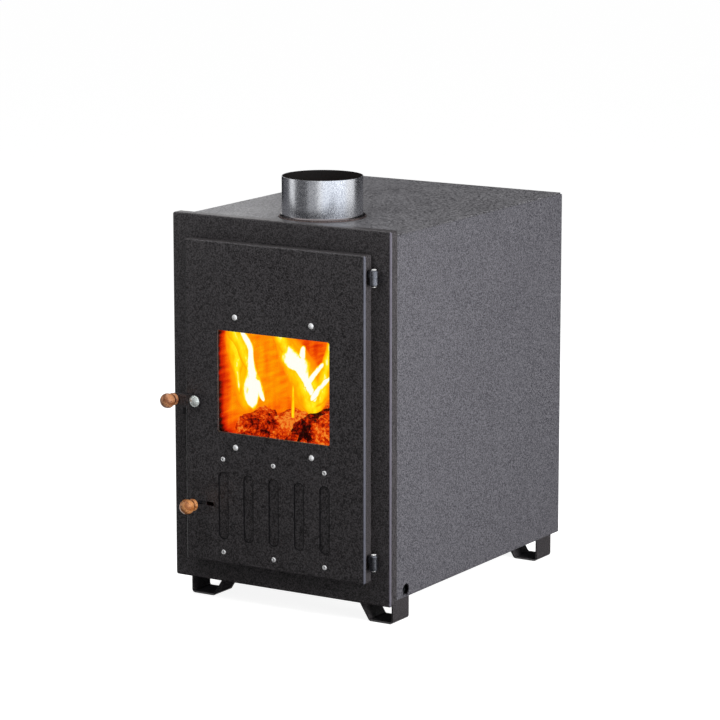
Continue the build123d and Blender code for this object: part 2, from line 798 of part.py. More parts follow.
# Air slide: a plate whose slots stand half a pitch off the vents at rest
slide_y1 = door_back_y + slide_clear + slide_t
slide_x0 = stem_x - slide_end
slide_x1 = vent_xs[-1] + vent_w / 2 + vent_rim
slide_h = 2 * (guide_row - guide_foot / 2 - guide_t - slide_edge_gap)
with BuildPart() as air_slide:
    with BuildSketch(across(slide_y1)):
        with Locations(((slide_x0 + slide_x1) / 2, vent_z)):
            Rectangle(slide_x1 - slide_x0, slide_h)
        with Locations(*[(x - vent_travel, vent_z) for x in vent_xs]):
            SlotOverall(vent_h, vent_w, rotation=90, mode=Mode.SUBTRACT)
    extrude(amount=slide_t)
air_slide.part.label = "air_slide"
export_step(air_slide.part, "parts/air_slide.step")


def turned_knob(x, z, base_y, bore_r):
    """Wooden knob turned about Y: a collar at base_y, a waist and a ball, bored from its base."""
    ball_y = base_y - knob_len + knob_ball_r
    neck_y = ball_y + (knob_ball_r**2 - knob_neck_r**2) ** 0.5
    collar_y = base_y - knob_collar_h
    edge_r = knob_collar_h / 2
    flat_r = knob_collar_r - edge_r / 2
    waist = ((neck_y + collar_y) / 2, knob_neck_r * 0.92)
    side = knob_ball_r * 0.5**0.5
    with BuildPart() as knob:
        with BuildSketch(Plane.XY.offset(z)):
            with BuildLine():
                Polyline((x, base_y - knob_len), (x, base_y), (x + flat_r, base_y))
                ThreePointArc(
                    (x + flat_r, base_y), (x + knob_collar_r, base_y - edge_r), (x + flat_r, collar_y)
                )
                ThreePointArc((x + flat_r, collar_y), (x + waist[1], waist[0]), (x + knob_neck_r, neck_y))
                ThreePointArc((x + knob_neck_r, neck_y), (x + side, ball_y - side), (x, base_y - knob_len))
            make_face()
        revolve(axis=Axis((x, 0, z), (0, 1, 0)))
        with BuildSketch(across(base_y)):
            with Locations((x, z)):
                Circle(bore_r)
        extrude(amount=knob_bore, mode=Mode.SUBTRACT)
    return knob


# Air slide knob on its stem, which passes through the door's short slot
air_knob_y = door_front_y - knob_standoff
air_knob = turned_knob(stem_x, vent_z, air_knob_y, stem_r + running_fit)
air_knob.part.label = "air_knob"
export_step(air_knob.part, "parts/air_knob.step")
with BuildPart() as air_stem:
    with BuildSketch(across(door_back_y + slide_clear)):
        with Locations((stem_x, vent_z)):
            Circle(stem_r)
    extrude(amount=door_back_y + slide_clear - air_knob_y + knob_bore - face_gap)
air_stem.part.label = "air_stem"
export_step(air_stem.part, "parts/air_stem.step")

# Latch lever: a flat bar turning on the carriage bolt
lever_y1 = door_front_y - latch_washer_t - face_gap
lever_y0 = lever_y1 - lever_t
knob_x = latch_x - latch_arm
with BuildPart() as latch_lever:
    with BuildSketch(across(lever_y1)):
        with Locations(((latch_x + knob_x) / 2, latch_pivot_z)):
            SlotCenterToCenter(latch_arm, 2 * lever_half)
        with Locations((latch_x, latch_pivot_z)):
            Circle(latch_bolt_r + running_fit, mode=Mode.SUBTRACT)
        with Locations((knob_x, latch_pivot_z)):
            Circle(knob_screw_r + running_fit, mode=Mode.SUBTRACT)
    extrude(amount=lever_t)
latch_lever.part.label = "latch_lever"
export_step(latch_lever.part, "parts/latch_lever.step")

# Latch knob and its screw
latch_knob = turned_knob(knob_x, latch_pivot_z, lever_y0, knob_screw_r + running_fit)
latch_knob.part.label = "latch_knob"
export_step(latch_knob.part, "parts/latch_knob.step")
with BuildPart() as latch_knob_screw:
    with BuildSketch(across(lever_y1)):
        with Locations((knob_x, latch_pivot_z)):
            Circle(knob_screw_r)
    extrude(amount=lever_t + knob_bore - face_gap)
    with BuildSketch(across(lever_y1 + knob_screw_head_h)):
        with Locations((knob_x, latch_pivot_z)):
            Circle(knob_screw_head_r)
    extrude(amount=knob_screw_head_h)
latch_knob_screw.part.label = "latch_knob_screw"
export_step(latch_knob_screw.part, "parts/latch_knob_screw.step")

# Latch hook: welded behind the lever, its leg drops behind the catch's lip
hook_x1 = door_left_x - hook_side_gap
hook_y1 = front_y - hook_rear_gap
with BuildPart() as latch_hook:
    with BuildSketch(Plane.YZ.offset(hook_x1 - hook_t)):
        with BuildLine():
            Polyline(
                (lever_y1, latch_pivot_z - hook_under),
                (hook_y1 - hook_leg, latch_pivot_z - hook_under),
                (hook_y1 - hook_leg, latch_pivot_z - hook_drop),
                (hook_y1, latch_pivot_z - hook_drop),
                (hook_y1, latch_pivot_z + hook_top),
                (lever_y1, latch_pivot_z + hook_top),
                close=True,
            )
        make_face()
    extrude(amount=hook_t)
latch_hook.part.label = "latch_hook"
export_step(latch_hook.part, "parts/latch_hook.step")

# Latch catch: an angle welded to the front panel, beside the door's edge
catch_x1 = door_left_x - catch_side_gap
catch_top_z = latch_pivot_z - hook_drop - catch_clear
catch_low_z = catch_top_z - catch_h
with BuildPart() as latch_catch:
    with BuildSketch(Plane.YZ.offset(catch_x1 - catch_w)):
        with Locations((front_y - catch_out / 2, catch_low_z + catch_t / 2)):
            Rectangle(catch_out, catch_t)
        with Locations((front_y - catch_out + catch_t / 2, catch_low_z + catch_h / 2)):
            Rectangle(catch_t, catch_h)
    extrude(amount=catch_w)
latch_catch.part.label = "latch_catch"
export_step(latch_catch.part, "parts/latch_catch.step")

# Latch bolt, its washer under the lever and its nut behind the door
with BuildPart() as latch_bolt:
    bolt_profile = dome_bolt_profile(
        latch_x,
        latch_pivot_z,
        lever_y0 - face_gap,
        door_back_y + latch_nut_h + face_gap,
        latch_bolt_r,
        latch_dome_r,
        latch_dome_h,
    )
    revolve(bolt_profile, axis=Axis((latch_x, 0, latch_pivot_z), (0, 1, 0)))
latch_bolt.part.label = "latch_bolt"
export_step(latch_bolt.part, "parts/latch_bolt.step")
with BuildPart() as latch_washer:
    with BuildSketch(across(door_front_y)):
        with Locations((latch_x, latch_pivot_z)):
            Circle(lever_half)
            Circle(latch_bolt_r + bolt_clear, mode=Mode.SUBTRACT)
    extrude(amount=latch_washer_t)
latch_washer.part.label = "latch_washer"
export_step(latch_washer.part, "parts/latch_washer.step")
with BuildPart() as latch_nut:
    with BuildSketch(across(door_back_y + latch_nut_h)):
        with Locations((latch_x, latch_pivot_z)):
            RegularPolygon(latch_nut_af / 2, 6, major_radius=False, rotation=30)
            Circle(latch_bolt_r + running_fit, mode=Mode.SUBTRACT)
    extrude(amount=latch_nut_h)
latch_nut.part.label = "latch_nut"
export_step(latch_nut.part, "parts/latch_nut.step")

# Hinges: a lower knuckle and pin on the front panel, an upper knuckle on the door
knuckle_h = (hinge_len - hinge_gap) / 2
leaf_x0 = door_shift + seal_outer_w / 2
leaf_h = (notch_h - hinge_gap) / 2 - sheet_gap
for place, hinge_z in hinge_zs:
    with BuildPart() as frame_knuckle:
        with BuildSketch(Plane.XY.offset(hinge_z - hinge_len / 2)):
            with Locations((hinge_x, hinge_y)):
                Circle(hinge_r)
        extrude(amount=knuckle_h)
        fillet(frame_knuckle.edges().sort_by(Axis.Z)[0], hinge_end_r)
        with BuildSketch(Plane.XY.offset(hinge_z - hinge_len / 2 + hinge_end_r)):
            with Locations((hinge_x, front_y - hinge_out / 2)):
                Rectangle(hinge_tab_t, hinge_out)
        extrude(amount=knuckle_h - hinge_end_r)
        with BuildSketch(Plane.XY.offset(hinge_z - hinge_len / 2 + hinge_pin_end)):
            with Locations((hinge_x, hinge_y)):
                Circle(hinge_pin_r + running_fit / 2)
        extrude(amount=knuckle_h, mode=Mode.SUBTRACT)
    frame_knuckle.part.label = f"hinge_frame_{place}"
    export_step(frame_knuckle.part, f"parts/hinge_frame_{place}.step")
    with BuildPart() as door_knuckle:
        with BuildSketch(Plane.XY.offset(hinge_z + hinge_gap / 2)):
            with Locations((hinge_x, hinge_y)):
                Circle(hinge_r)
        extrude(amount=knuckle_h)
        fillet(door_knuckle.edges().sort_by(Axis.Z)[-1], hinge_end_r)
        with BuildSketch(Plane.XY.offset(hinge_z + hinge_gap / 2)):
            with Locations(((leaf_x0 + hinge_x) / 2, hinge_y)):
                Rectangle(hinge_x - leaf_x0, hinge_leaf_t)
        extrude(amount=leaf_h)
        with BuildSketch(Plane.XY.offset(hinge_z + hinge_gap / 2)):
            with Locations((hinge_x, hinge_y)):
                Circle(hinge_pin_r + running_fit)
        extrude(amount=knuckle_h - hinge_pin_end, mode=Mode.SUBTRACT)
    door_knuckle.part.label = f"hinge_door_{place}"
    export_step(door_knuckle.part, f"parts/hinge_door_{place}.step")

# Hinge pins, fast in the lower knuckles
with BuildPart() as hinge_pins:
    for _, hinge_z in hinge_zs:
        with BuildSketch(Plane.XY.offset(hinge_z - hinge_len / 2 + hinge_pin_end)):
            with Locations((hinge_x, hinge_y)):
                Circle(hinge_pin_r)
        extrude(amount=hinge_len - 2 * hinge_pin_end - face_gap)
hinge_pins.part.label = "hinge_pins"
export_step(hinge_pins.part, "parts/hinge_pins.step")
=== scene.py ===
"""Looks of a wood stove that heats a hot tub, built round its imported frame. Lengths here are millimetres."""

import logging
import math
import random
from collections.abc import Callable, Sequence
from dataclasses import dataclass, replace
from enum import Enum

import bmesh
import bpy
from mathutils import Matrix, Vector


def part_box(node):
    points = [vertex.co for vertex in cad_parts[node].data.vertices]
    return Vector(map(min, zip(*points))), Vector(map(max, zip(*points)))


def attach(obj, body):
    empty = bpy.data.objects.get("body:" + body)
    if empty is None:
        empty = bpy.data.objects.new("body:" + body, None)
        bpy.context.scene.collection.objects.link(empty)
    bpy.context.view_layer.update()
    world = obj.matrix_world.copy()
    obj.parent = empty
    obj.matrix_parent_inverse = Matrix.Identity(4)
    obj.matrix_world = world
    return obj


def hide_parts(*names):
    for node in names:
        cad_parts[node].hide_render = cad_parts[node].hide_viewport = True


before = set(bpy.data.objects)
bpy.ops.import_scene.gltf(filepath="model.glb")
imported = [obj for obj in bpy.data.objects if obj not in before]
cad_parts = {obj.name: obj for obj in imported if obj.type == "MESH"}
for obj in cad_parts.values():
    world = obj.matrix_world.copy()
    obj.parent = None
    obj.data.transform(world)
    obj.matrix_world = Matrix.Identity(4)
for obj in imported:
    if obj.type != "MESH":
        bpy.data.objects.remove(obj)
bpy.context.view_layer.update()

LOG = logging.getLogger("hot_tub_stove")
MM = 0.001
GRATE_TOP = 275.0
# The angle by which the sheets of flame turn from the front towards the right.
FLAME_TURN = 31.7
# How close a point lies to a row or column that it belongs to.
NEAR = 0.2
UP = (0.0, 0.0, 1.0)
# Multiplies a place to keep it in plan and drop its height.
PLAN = (1.0, 1.0, 0.0)

Node = bpy.types.Node
Tree = bpy.types.NodeTree
Socket = bpy.types.NodeSocket
Piece = bpy.types.Object
Pair = tuple[float, float]
Triple = tuple[float, float, float]
Inputs = dict[str | int, object] | Sequence[object]
Ring = tuple[float, float, float, float, float]
Profile = tuple[Pair, ...]
Stops = Sequence[tuple[float, str]]
Tongues = tuple[tuple[tuple[float, ...], ...], ...]


class Body(Enum):
    """The bodies of the stove that the pieces made here ride on."""

    CASING = "casing"
    DOOR = "door"


class Pick(Enum):
    """What a selection in edit mode is made of."""

    POINTS = "VERT"
    FACES = "FACE"


def linear(colour: str) -> tuple[float, float, float, float]:
    """Turns an sRGB hex colour into linear light.

    Args:
        colour: Six hex digits after a hash sign.

    Returns:
        Red, green and blue in linear light, with an alpha of one.
    """
    parts = [int(colour[i : i + 2], 16) / 255 for i in (1, 3, 5)]
    light = [p / 12.92 if p <= 0.04045 else ((p + 0.055) / 1.055) ** 2.4 for p in parts]
    return (light[0], light[1], light[2], 1.0)


def per(size: float) -> float:
    """Gives the texture scale at which a pattern on Object coordinates has that size in millimetres."""
    return 1.0 / (size * MM)


def add(tree: Tree, kind: str, inputs: Inputs = (), stops: Stops = (), **settings: object) -> Node:
    """Adds one shader node with its settings, values and links.

    Args:
        tree: The node tree to add it to.
        kind: The node's type name, without its prefix.
        inputs: A value, a node or one of its outputs for each socket, by name or in their order. A node
            by itself gives its first output in use.
        stops: Places and colours of a colour ramp.
        settings: The node's own settings.

    Returns:
        The new node.
    """
    node = tree.nodes.new(f"ShaderNode{kind}")
    for name, value in settings.items():
        setattr(node, name, value)
    for socket, value in inputs.items() if isinstance(inputs, dict) else enumerate(inputs):
        if isinstance(value, Node):
            value = next(output for output in value.outputs if output.enabled)
        if isinstance(value, Socket):
            tree.links.new(value, node.inputs[socket])
        else:
            node.inputs[socket].default_value = value
    if stops:
        ramp = node.color_ramp
        while len(ramp.elements) < len(stops):
            ramp.elements.new(0.5)
        for element, (place, colour) in zip(ramp.elements, stops):
            element.position = place
            element.color = linear(colour)
    return node


@dataclass(frozen=True)
class Finish:
    """One named material, made the first time that it is asked for."""

    name: str

    def shader(self, tree: Tree, place: Socket) -> Node:
        """Builds the surface's nodes.

        Args:
            tree: The material's node tree.
            place: Object coordinates in metres.

        Returns:
            The shader node that ends them.
        """
        raise NotImplementedError

    def material(self) -> bpy.types.Material:
        """Gives the finish's material.

        Returns:
            The material, which all pieces of this finish share.
        """
        made = bpy.data.materials.get(self.name)
        if made is None:
            made = bpy.data.materials.new(self.name)
            made.use_nodes = True
            tree = made.node_tree
            tree.nodes.clear()
            place = add(tree, "TexCoord").outputs["Object"]
            add(tree, "OutputMaterial", {"Surface": self.shader(tree, place)})
        return made


@dataclass(frozen=True)
class PowderCoat(Finish):
    """Fine-texture polyester powder coat, baked on sheet: an even pebbled skin that scatters light softly."""

    low: str
    high: str
    roughness: float = 0.38
    # The real pebbles are 0.4 mm wide. They are drawn at 2.1 mm, over a pixel, or they would not show.
    pebble: float = 2.1
    cloud: float = 110.0
    relief: float = 0.5
    # The corners, in plan, of upright bends, and the tint painted along each: lighter as a painted highlight,
    # darker as painted shade.
    painted_bends: tuple[tuple[float, float, str], ...] = ()
    # How far from a bend's corner its tint is full, and where it ends.
    painted_bend_reach: Pair = (2.2, 3.6)

    def shader(self, tree: Tree, place: Socket) -> Node:
        """Speckles the colour and the relief with pebbles, and clouds the gloss a little."""
        pebbles = add(tree, "TexNoise", {"Vector": place, "Scale": per(self.pebble), "Detail": 1.0})
        clouds = add(tree, "TexNoise", {"Vector": place, "Scale": per(self.cloud), "Detail": 3.0})
        colour = add(tree, "ValToRGB", (pebbles,), stops=((0.34, self.low), (0.66, self.high)))
        full, end = self.painted_bend_reach
        # Paints a highlight or shade into the colour along each listed bend.
        for x, y, shade in self.painted_bends:
            away = add(tree, "VectorMath", (place, PLAN, (-x * MM, -y * MM, 0.0)), operation="MULTIPLY_ADD")
            reach = add(tree, "VectorMath", (away,), operation="LENGTH")
            painted_share = add(tree, "MapRange", (reach, full * MM, end * MM, 1.0, 0.0))
            colour = add(tree, "Mix", {0: painted_share, "A": colour, "B": linear(shade)}, data_type="RGBA")
        gloss = add(tree, "MapRange", (clouds, 0.3, 0.7, self.roughness - 0.05, self.roughness + 0.06))
        relief = add(tree, "Bump", {"Height": pebbles, "Strength": self.relief, "Distance": 0.7 * MM})
        look = {"Base Color": colour, "Roughness": gloss, "IOR": 1.5, "Normal": relief}
        return add(tree, "BsdfPrincipled", look)


@dataclass(frozen=True)
class BrightMetal(Finish):
    """Rolled or plated metal: a mirror blurred by its rolling marks or crystals."""

    low: str
    high: str
    roughness: float
    grain: float
    relief: float = 0.3
    # Zinc's thin white bloom scatters light as paint does, so plated steel is only partly a mirror.
    metal: float = 1.0

    def shader(self, tree: Tree, place: Socket) -> Node:
        """Speckles the tint, the gloss and the relief with the metal's grain."""
        grain = add(tree, "TexNoise", {"Vector": place, "Scale": per(self.grain), "Detail": 3.0})
        tint = add(tree, "ValToRGB", (grain,), stops=((0.3, self.low), (0.7, self.high)))
        gloss = add(tree, "MapRange", (grain, 0.3, 0.7, self.roughness - 0.06, self.roughness + 0.08))
        relief = add(tree, "Bump", {"Height": grain, "Strength": self.relief, "Distance": 0.3 * MM})
        look = {"Base Color": tint, "Roughness": gloss, "Metallic": self.metal, "Normal": relief}
        return add(tree, "BsdfPrincipled", look)


@dataclass(frozen=True)
class FlueSteel(Finish):
    """Stainless flue sheet: fine crystals on its skin, soot in its bore, and a burnt foot."""

    low: str = "#bfc1c7"
    high: str = "#eef0f4"
    soot: str = "#100f0f"
    burnt: str = "#8c8586"
    axis_y: float = -155.5
    bore_radius: float = 69.0
    skin_radius: float = 70.4

    def shader(self, tree: Tree, place: Socket) -> Node:
        """Parts bore, skin and foot by their distance from the flue's axis."""
        axis = (0.0, -self.axis_y * MM, 0.0)
        level = add(tree, "VectorMath", (place, PLAN, axis), operation="MULTIPLY_ADD")
        reach = add(tree, "VectorMath", (level,), operation="LENGTH")
        bore, skin = self.bore_radius, self.skin_radius
        inner = add(tree, "MapRange", (reach, (bore - 0.3) * MM, (bore + 0.3) * MM, 1.0, 0.0))
        outer = add(tree, "MapRange", (reach, skin * MM, (skin + 0.4) * MM, 0.0, 1.0))
        crystals = add(tree, "TexNoise", {"Vector": place, "Scale": per(2.0), "Detail": 1.0})
        bright = add(tree, "ValToRGB", (crystals,), stops=((0.36, self.low), (0.64, self.high)))
        footed = add(tree, "Mix", {0: outer, "A": bright, "B": linear(self.burnt)}, data_type="RGBA")
        tint = add(tree, "Mix", {0: inner, "A": footed, "B": linear(self.soot)}, data_type="RGBA")
        metal = add(tree, "Math", (1.0, inner), operation="SUBTRACT")
        gloss = add(tree, "MapRange", (crystals, 0.3, 0.7, 0.22, 0.3))
        dulled = add(tree, "Math", (inner, 0.5, gloss), operation="MULTIPLY_ADD")
        relief = add(tree, "Bump", {"Height": crystals, "Strength": 0.12, "Distance": 0.3 * MM})
        look = {"Base Color": tint, "Roughness": dulled, "Metallic": metal, "Normal": relief}
        return add(tree, "BsdfPrincipled", look)


@dataclass(frozen=True)
class SootWithPaintedFirelight(Finish):
    """Hot-rolled steel in a burning firebox: brown-black soot, with the firelight painted on as its own glow.
    """

    low: str = "#080605"
    high: str = "#1a120e"
    # The painted firelight's growth per metre inwards from the door and upwards, its start and its full
    # strength.
    growth: Triple = (0.0, 12.6, 0.5)
    start: float = 2.91
    full: float = 0.66
    # The heights between which it fades towards the grate, and the depths between which it fades at the back.
    fade_down: Pair = (215.0, 315.0)
    fade_back: Pair = (-20.0, 50.0)
    # Middle and half size of the firebox's inside, beyond which nothing glows.
    middle: Triple = (1.5, -41.5, 346.0)
    half: Triple = (164.4, 247.0, 251.4)

    def shader(self, tree: Tree, place: Socket) -> Node:
        """Paints the firelight as a glow that starts behind the door opening and fades under the grate."""
        soot = add(tree, "TexNoise", {"Vector": place, "Scale": per(14.0), "Detail": 5.0})
        tint = add(tree, "ValToRGB", (soot,), stops=((0.3, self.low), (0.7, self.high)))
        along = add(tree, "SeparateXYZ", (place,)).outputs
        reach = add(tree, "VectorMath", (place, self.growth), operation="DOT_PRODUCT")
        lit = add(tree, "MapRange", (reach, -self.start, self.full - self.start, 0.0, self.full))
        sunk = add(tree, "MapRange", (along["Z"], *(v * MM for v in self.fade_down), -0.52, 0.0))
        far = add(tree, "MapRange", (along["Y"], *(v * MM for v in self.fade_back), 0.0, -0.18))
        heat = add(tree, "Math", (lit, sunk))
        heat = add(tree, "Math", (heat, far))
        for squeeze, size, strength in (((1.0, 1.0, 0.3), 26.0, 0.08), ((1.0, 0.16, 1.0), 9.0, 0.09)):
            drawn = add(tree, "Mapping", {"Vector": place, "Scale": squeeze})
            streaks = add(tree, "TexNoise", {"Vector": drawn, "Scale": per(size), "Detail": 3.0})
            flicker = add(tree, "MapRange", (streaks, 0.3, 0.7, -strength, strength))
            heat = add(tree, "Math", (heat, flicker), use_clamp=True)
        reds = ((0.06, "#000000"), (0.16, "#3d0600"), (0.3, "#c81c00"), (0.44, "#f04a00"))
        oranges = ((0.55, "#ff7400"), (0.68, "#ff9600"), (0.8, "#ffb400"))
        glow = add(tree, "ValToRGB", (heat,), stops=(*reds, *oranges))
        off = add(tree, "VectorMath", (place, Vector(self.middle) * MM), operation="SUBTRACT")
        share = add(tree, "VectorMath", (off, Vector(self.half) * MM), operation="DIVIDE")
        share = add(tree, "VectorMath", (share,), operation="ABSOLUTE")
        sides = add(tree, "SeparateXYZ", (share,)).outputs
        level = add(tree, "Math", (sides["X"], sides["Y"]), operation="MAXIMUM")
        most = add(tree, "Math", (level, sides["Z"]), operation="MAXIMUM")
        inside = add(tree, "MapRange", (most, 1.002, 1.006, 1.1, 0.0))
        skin = {"Base Color": tint, "Roughness": 0.9, "Specular IOR Level": 0.1}
        return add(tree, "BsdfPrincipled", {**skin, "Emission Color": glow, "Emission Strength": inside})


@dataclass(frozen=True)
class CastIron(Finish):
    """Sand-cast iron, burnt grey: a dull grainy skin."""

    low: str = "#2a2827"
    high: str = "#4c4846"

    def shader(self, tree: Tree, place: Socket) -> Node:
        """Speckles the colour and the relief with the sand's grain."""
        sand = add(tree, "TexNoise", {"Vector": place, "Scale": per(1.6), "Detail": 3.0})
        tint = add(tree, "ValToRGB", (sand,), stops=((0.3, self.low), (0.7, self.high)))
        relief = add(tree, "Bump", {"Height": sand, "Strength": 0.5, "Distance": 0.4 * MM})
        return add(tree, "BsdfPrincipled", {"Base Color": tint, "Roughness": 0.75, "Normal": relief})


@dataclass(frozen=True)
class TurnedBeech(Finish):
    """Beech, turned on a lathe and lacquered: short brown ray flecks along the grain under a thin shine."""

    pale: str
    warm: str
    fleck: str

    def shader(self, tree: Tree, place: Socket) -> Node:
        """Draws growth rings and flecks stretched along the knob."""
        drawn = add(tree, "Mapping", {"Vector": place, "Scale": (1.0, 0.16, 1.0)})
        bands = {"Vector": drawn, "Scale": per(26.0), "Distortion": 6.0, "Detail": 3.0, "Detail Scale": 1.6}
        rings = add(tree, "TexWave", bands, bands_direction="DIAGONAL").outputs["Fac"]
        flecks = add(tree, "TexNoise", {"Vector": drawn, "Scale": per(1.5), "Detail": 2.0})
        ground = add(tree, "ValToRGB", (rings,), stops=((0.1, self.warm), (0.8, self.pale)))
        marks = add(tree, "ValToRGB", (flecks,), stops=((0.34, "#ffffff"), (0.44, "#000000")))
        tint = add(tree, "Mix", {0: marks, "A": ground, "B": linear(self.fleck)}, data_type="RGBA")
        relief = add(tree, "Bump", {"Height": rings, "Strength": 0.2, "Distance": 0.2 * MM})
        wood = {"Base Color": tint, "Roughness": 0.42, "IOR": 1.5, "Normal": relief}
        return add(tree, "BsdfPrincipled", {**wood, "Coat Weight": 0.4, "Coat Roughness": 0.25})


@dataclass(frozen=True)
class FireGlass(Finish):
    """Clear glass ceramic, drawn flat: nearly invisible, with a faint brown body tint."""

    tint: str = "#fbf4ea"

    def shader(self, tree: Tree, place: Socket) -> Node:
        """Lets the fire through with the gloss of glass, and smokes the pane a little in clouds."""
        haze = add(tree, "TexNoise", {"Vector": place, "Scale": per(60.0), "Detail": 3.0})
        gloss = add(tree, "MapRange", (haze, 0.35, 0.7, 0.0, 0.03))
        look = {"Base Color": linear(self.tint), "Roughness": gloss, "IOR": 1.5, "Transmission Weight": 1.0}
        return add(tree, "BsdfPrincipled", look)


@dataclass(frozen=True)
class KnittedGlass(Finish):
    """Knitted glass-fibre cord: pale grey-white loops, soft and matt."""

    low: str = "#8f8c86"
    high: str = "#dedbd3"
    stitch: float = 3.0

    def shader(self, tree: Tree, place: Socket) -> Node:
        """Draws slanted loops one stitch apart."""
        bands = {"Vector": place, "Scale": per(self.stitch * 6.3), "Distortion": 1.5, "Detail": 1.0}
        loops = add(tree, "TexWave", bands, bands_direction="DIAGONAL").outputs["Fac"]
        tint = add(tree, "ValToRGB", (loops,), stops=((0.1, self.low), (0.75, self.high)))
        relief = add(tree, "Bump", {"Height": loops, "Strength": 0.8, "Distance": 0.6 * MM})
        look = {"Base Color": tint, "Roughness": 0.9, "Sheen Weight": 0.3, "Normal": relief}
        return add(tree, "BsdfPrincipled", look)


@dataclass(frozen=True)
class CharredWood(Finish):
    """Birch burnt to charcoal: black cracked blocks, mottled where the embers glow through."""

    heat: float
    block: float = 12.0
    crumb: float = 9.0
    patch: float = 48.0

    def shader(self, tree: Tree, place: Socket) -> Node:
        """Glows in patches and most under the flames, mottled by crumbs and parted by dark cracks."""
        edges = {"Vector": place, "Scale": per(self.block), "Randomness": 1.0}
        blocks = add(tree, "TexVoronoi", edges, feature="DISTANCE_TO_EDGE")
        cracks = add(tree, "MapRange", (blocks, 0.0, 0.14, -0.2, 0.0))
        coarse = {"Vector": place, "Scale": per(self.crumb), "Detail": 4.0, "Roughness": 0.75}
        crumbs = add(tree, "TexNoise", coarse)
        mottle = add(tree, "MapRange", (crumbs, 0.36, 0.64, -0.36, 0.36))
        clouds = add(tree, "TexNoise", {"Vector": place, "Scale": per(self.patch), "Detail": 2.0})
        patches = add(tree, "MapRange", (clouds, 0.34, 0.66, self.heat - 0.28, self.heat + 0.28))
        height = add(tree, "SeparateXYZ", (place,)).outputs["Z"]
        lit = add(tree, "MapRange", (height, 296.0 * MM, 340.0 * MM, 0.0, 0.12))
        fired = add(tree, "Math", (patches, lit))
        mixed = add(tree, "Math", (fired, mottle))
        heat = add(tree, "Math", (mixed, cracks), use_clamp=True)
        dull = ((0.04, "#200200"), (0.22, "#5e0800"), (0.42, "#a41a00"))
        hot = ((0.6, "#d63200"), (0.8, "#f65a06"), (1.0, "#ff9430"))
        glow = add(tree, "ValToRGB", (heat,), stops=(*dull, *hot))
        relief = add(tree, "Bump", {"Height": blocks, "Strength": 0.8, "Distance": 2.0 * MM})
        coal = {"Base Color": linear("#0d0a09"), "Roughness": 0.85, "Specular IOR Level": 0.1}
        lit_coal = {**coal, "Emission Color": glow, "Emission Strength": 1.0, "Normal": relief}
        return add(tree, "BsdfPrincipled", lit_coal)


@dataclass(frozen=True)
class FlameGas(Finish):
    """Burning wood gas: it shines by itself, white at its heart, yellow round it and thin at its edges."""

    heart: float
    swirl: float
    ragged: float
    density: float = 1.0

    def shader(self, tree: Tree, place: Socket) -> Node:
        """Reads the heat from how far in from the sheet's edges and ends a point lies, torn by swirls."""
        across = add(tree, "SeparateXYZ", (add(tree, "TexCoord").outputs["UV"],)).outputs
        side = add(tree, "Math", (across["X"], 0.5), operation="PINGPONG")
        root = add(tree, "MapRange", (across["Y"], 0.0, 0.1, 0.0, 1.0))
        tip = add(tree, "MapRange", (across["Y"], 0.84, 1.0, 1.0, 0.0))
        ends = add(tree, "Math", (root, tip), operation="MULTIPLY")
        drawn = add(tree, "Mapping", {"Vector": place, "Scale": (1.0, 1.0, 0.45)})
        swirls = add(tree, "TexNoise", {"Vector": drawn, "Scale": per(self.swirl), "Detail": 3.0})
        torn = add(tree, "MapRange", (swirls, 0.3, 0.7, 2.0 - self.ragged, 2.0 + self.ragged))
        body = add(tree, "Math", (side, torn), operation="MULTIPLY")
        heat = add(tree, "Math", (body, ends), operation="MULTIPLY")
        warmth = add(tree, "Math", (heat, self.heart), operation="MULTIPLY")
        yellows = ((0.05, "#ff9000"), (0.2, "#ffc800"), (0.34, "#fff01e"))
        glow = add(tree, "ValToRGB", (warmth,), stops=(*yellows, (0.42, "#fffcc0"), (0.5, "#ffffff")))
        thin = (heat, 0.03, 0.3, 0.0, self.density)
        cover = add(tree, "MapRange", thin, interpolation_type="SMOOTHSTEP")
        gas = {"Base Color": linear("#000000"), "Roughness": 1.0, "Specular IOR Level": 0.0, "Alpha": cover}
        return add(tree, "BsdfPrincipled", {**gas, "Emission Color": glow, "Emission Strength": 1.2})


@dataclass(frozen=True)
class WoodAsh(Finish):
    """Dry wood ash: pale grey powder with darker crumbs."""

    low: str = "#6f6a64"
    high: str = "#b7b1a8"

    def shader(self, tree: Tree, place: Socket) -> Node:
        """Mottles the powder and roughens its relief."""
        crumbs = add(tree, "TexNoise", {"Vector": place, "Scale": per(5.0), "Detail": 5.0})
        tint = add(tree, "ValToRGB", (crumbs,), stops=((0.35, self.low), (0.65, self.high)))
        relief = add(tree, "Bump", {"Height": crumbs, "Strength": 0.8, "Distance": 1.0 * MM})
        return add(tree, "BsdfPrincipled", {"Base Color": tint, "Roughness": 0.95, "Normal": relief})


@dataclass(frozen=True)
class StudioPaper(Finish):
    """Seamless white paper: to the camera, to metal and to glass it is nearly white, and it keeps shadows."""

    colour: str = "#aeaeae"
    shine: float = 0.895

    def shader(self, tree: Tree, place: Socket) -> Node:
        """Adds light to what the camera, metal and glass see of the paper."""
        fibres = add(tree, "TexNoise", {"Vector": place, "Scale": per(3.0)})
        relief = add(tree, "Bump", {"Height": fibres, "Strength": 0.05, "Distance": 0.1 * MM})
        skin = {"Base Color": linear(self.colour), "Roughness": 0.9, "Specular IOR Level": 0.0}
        paper = add(tree, "BsdfPrincipled", {**skin, "Normal": relief})
        seen = seen_by_eye_metal_and_glass(tree)
        bright = add(tree, "Math", (seen, self.shine), operation="MULTIPLY")
        extra = add(tree, "Emission", {"Strength": bright})
        return add(tree, "AddShader", (paper, extra))


@dataclass(frozen=True)
class StudioFlag(Finish):
    """Felt or card board that only reflections see."""

    colour: str = "#202022"
    strength: float = 1.0

    def shader(self, tree: Tree, place: Socket) -> Node:
        """Gives the board's even shine."""
        return add(tree, "Emission", {"Color": linear(self.colour), "Strength": self.strength})


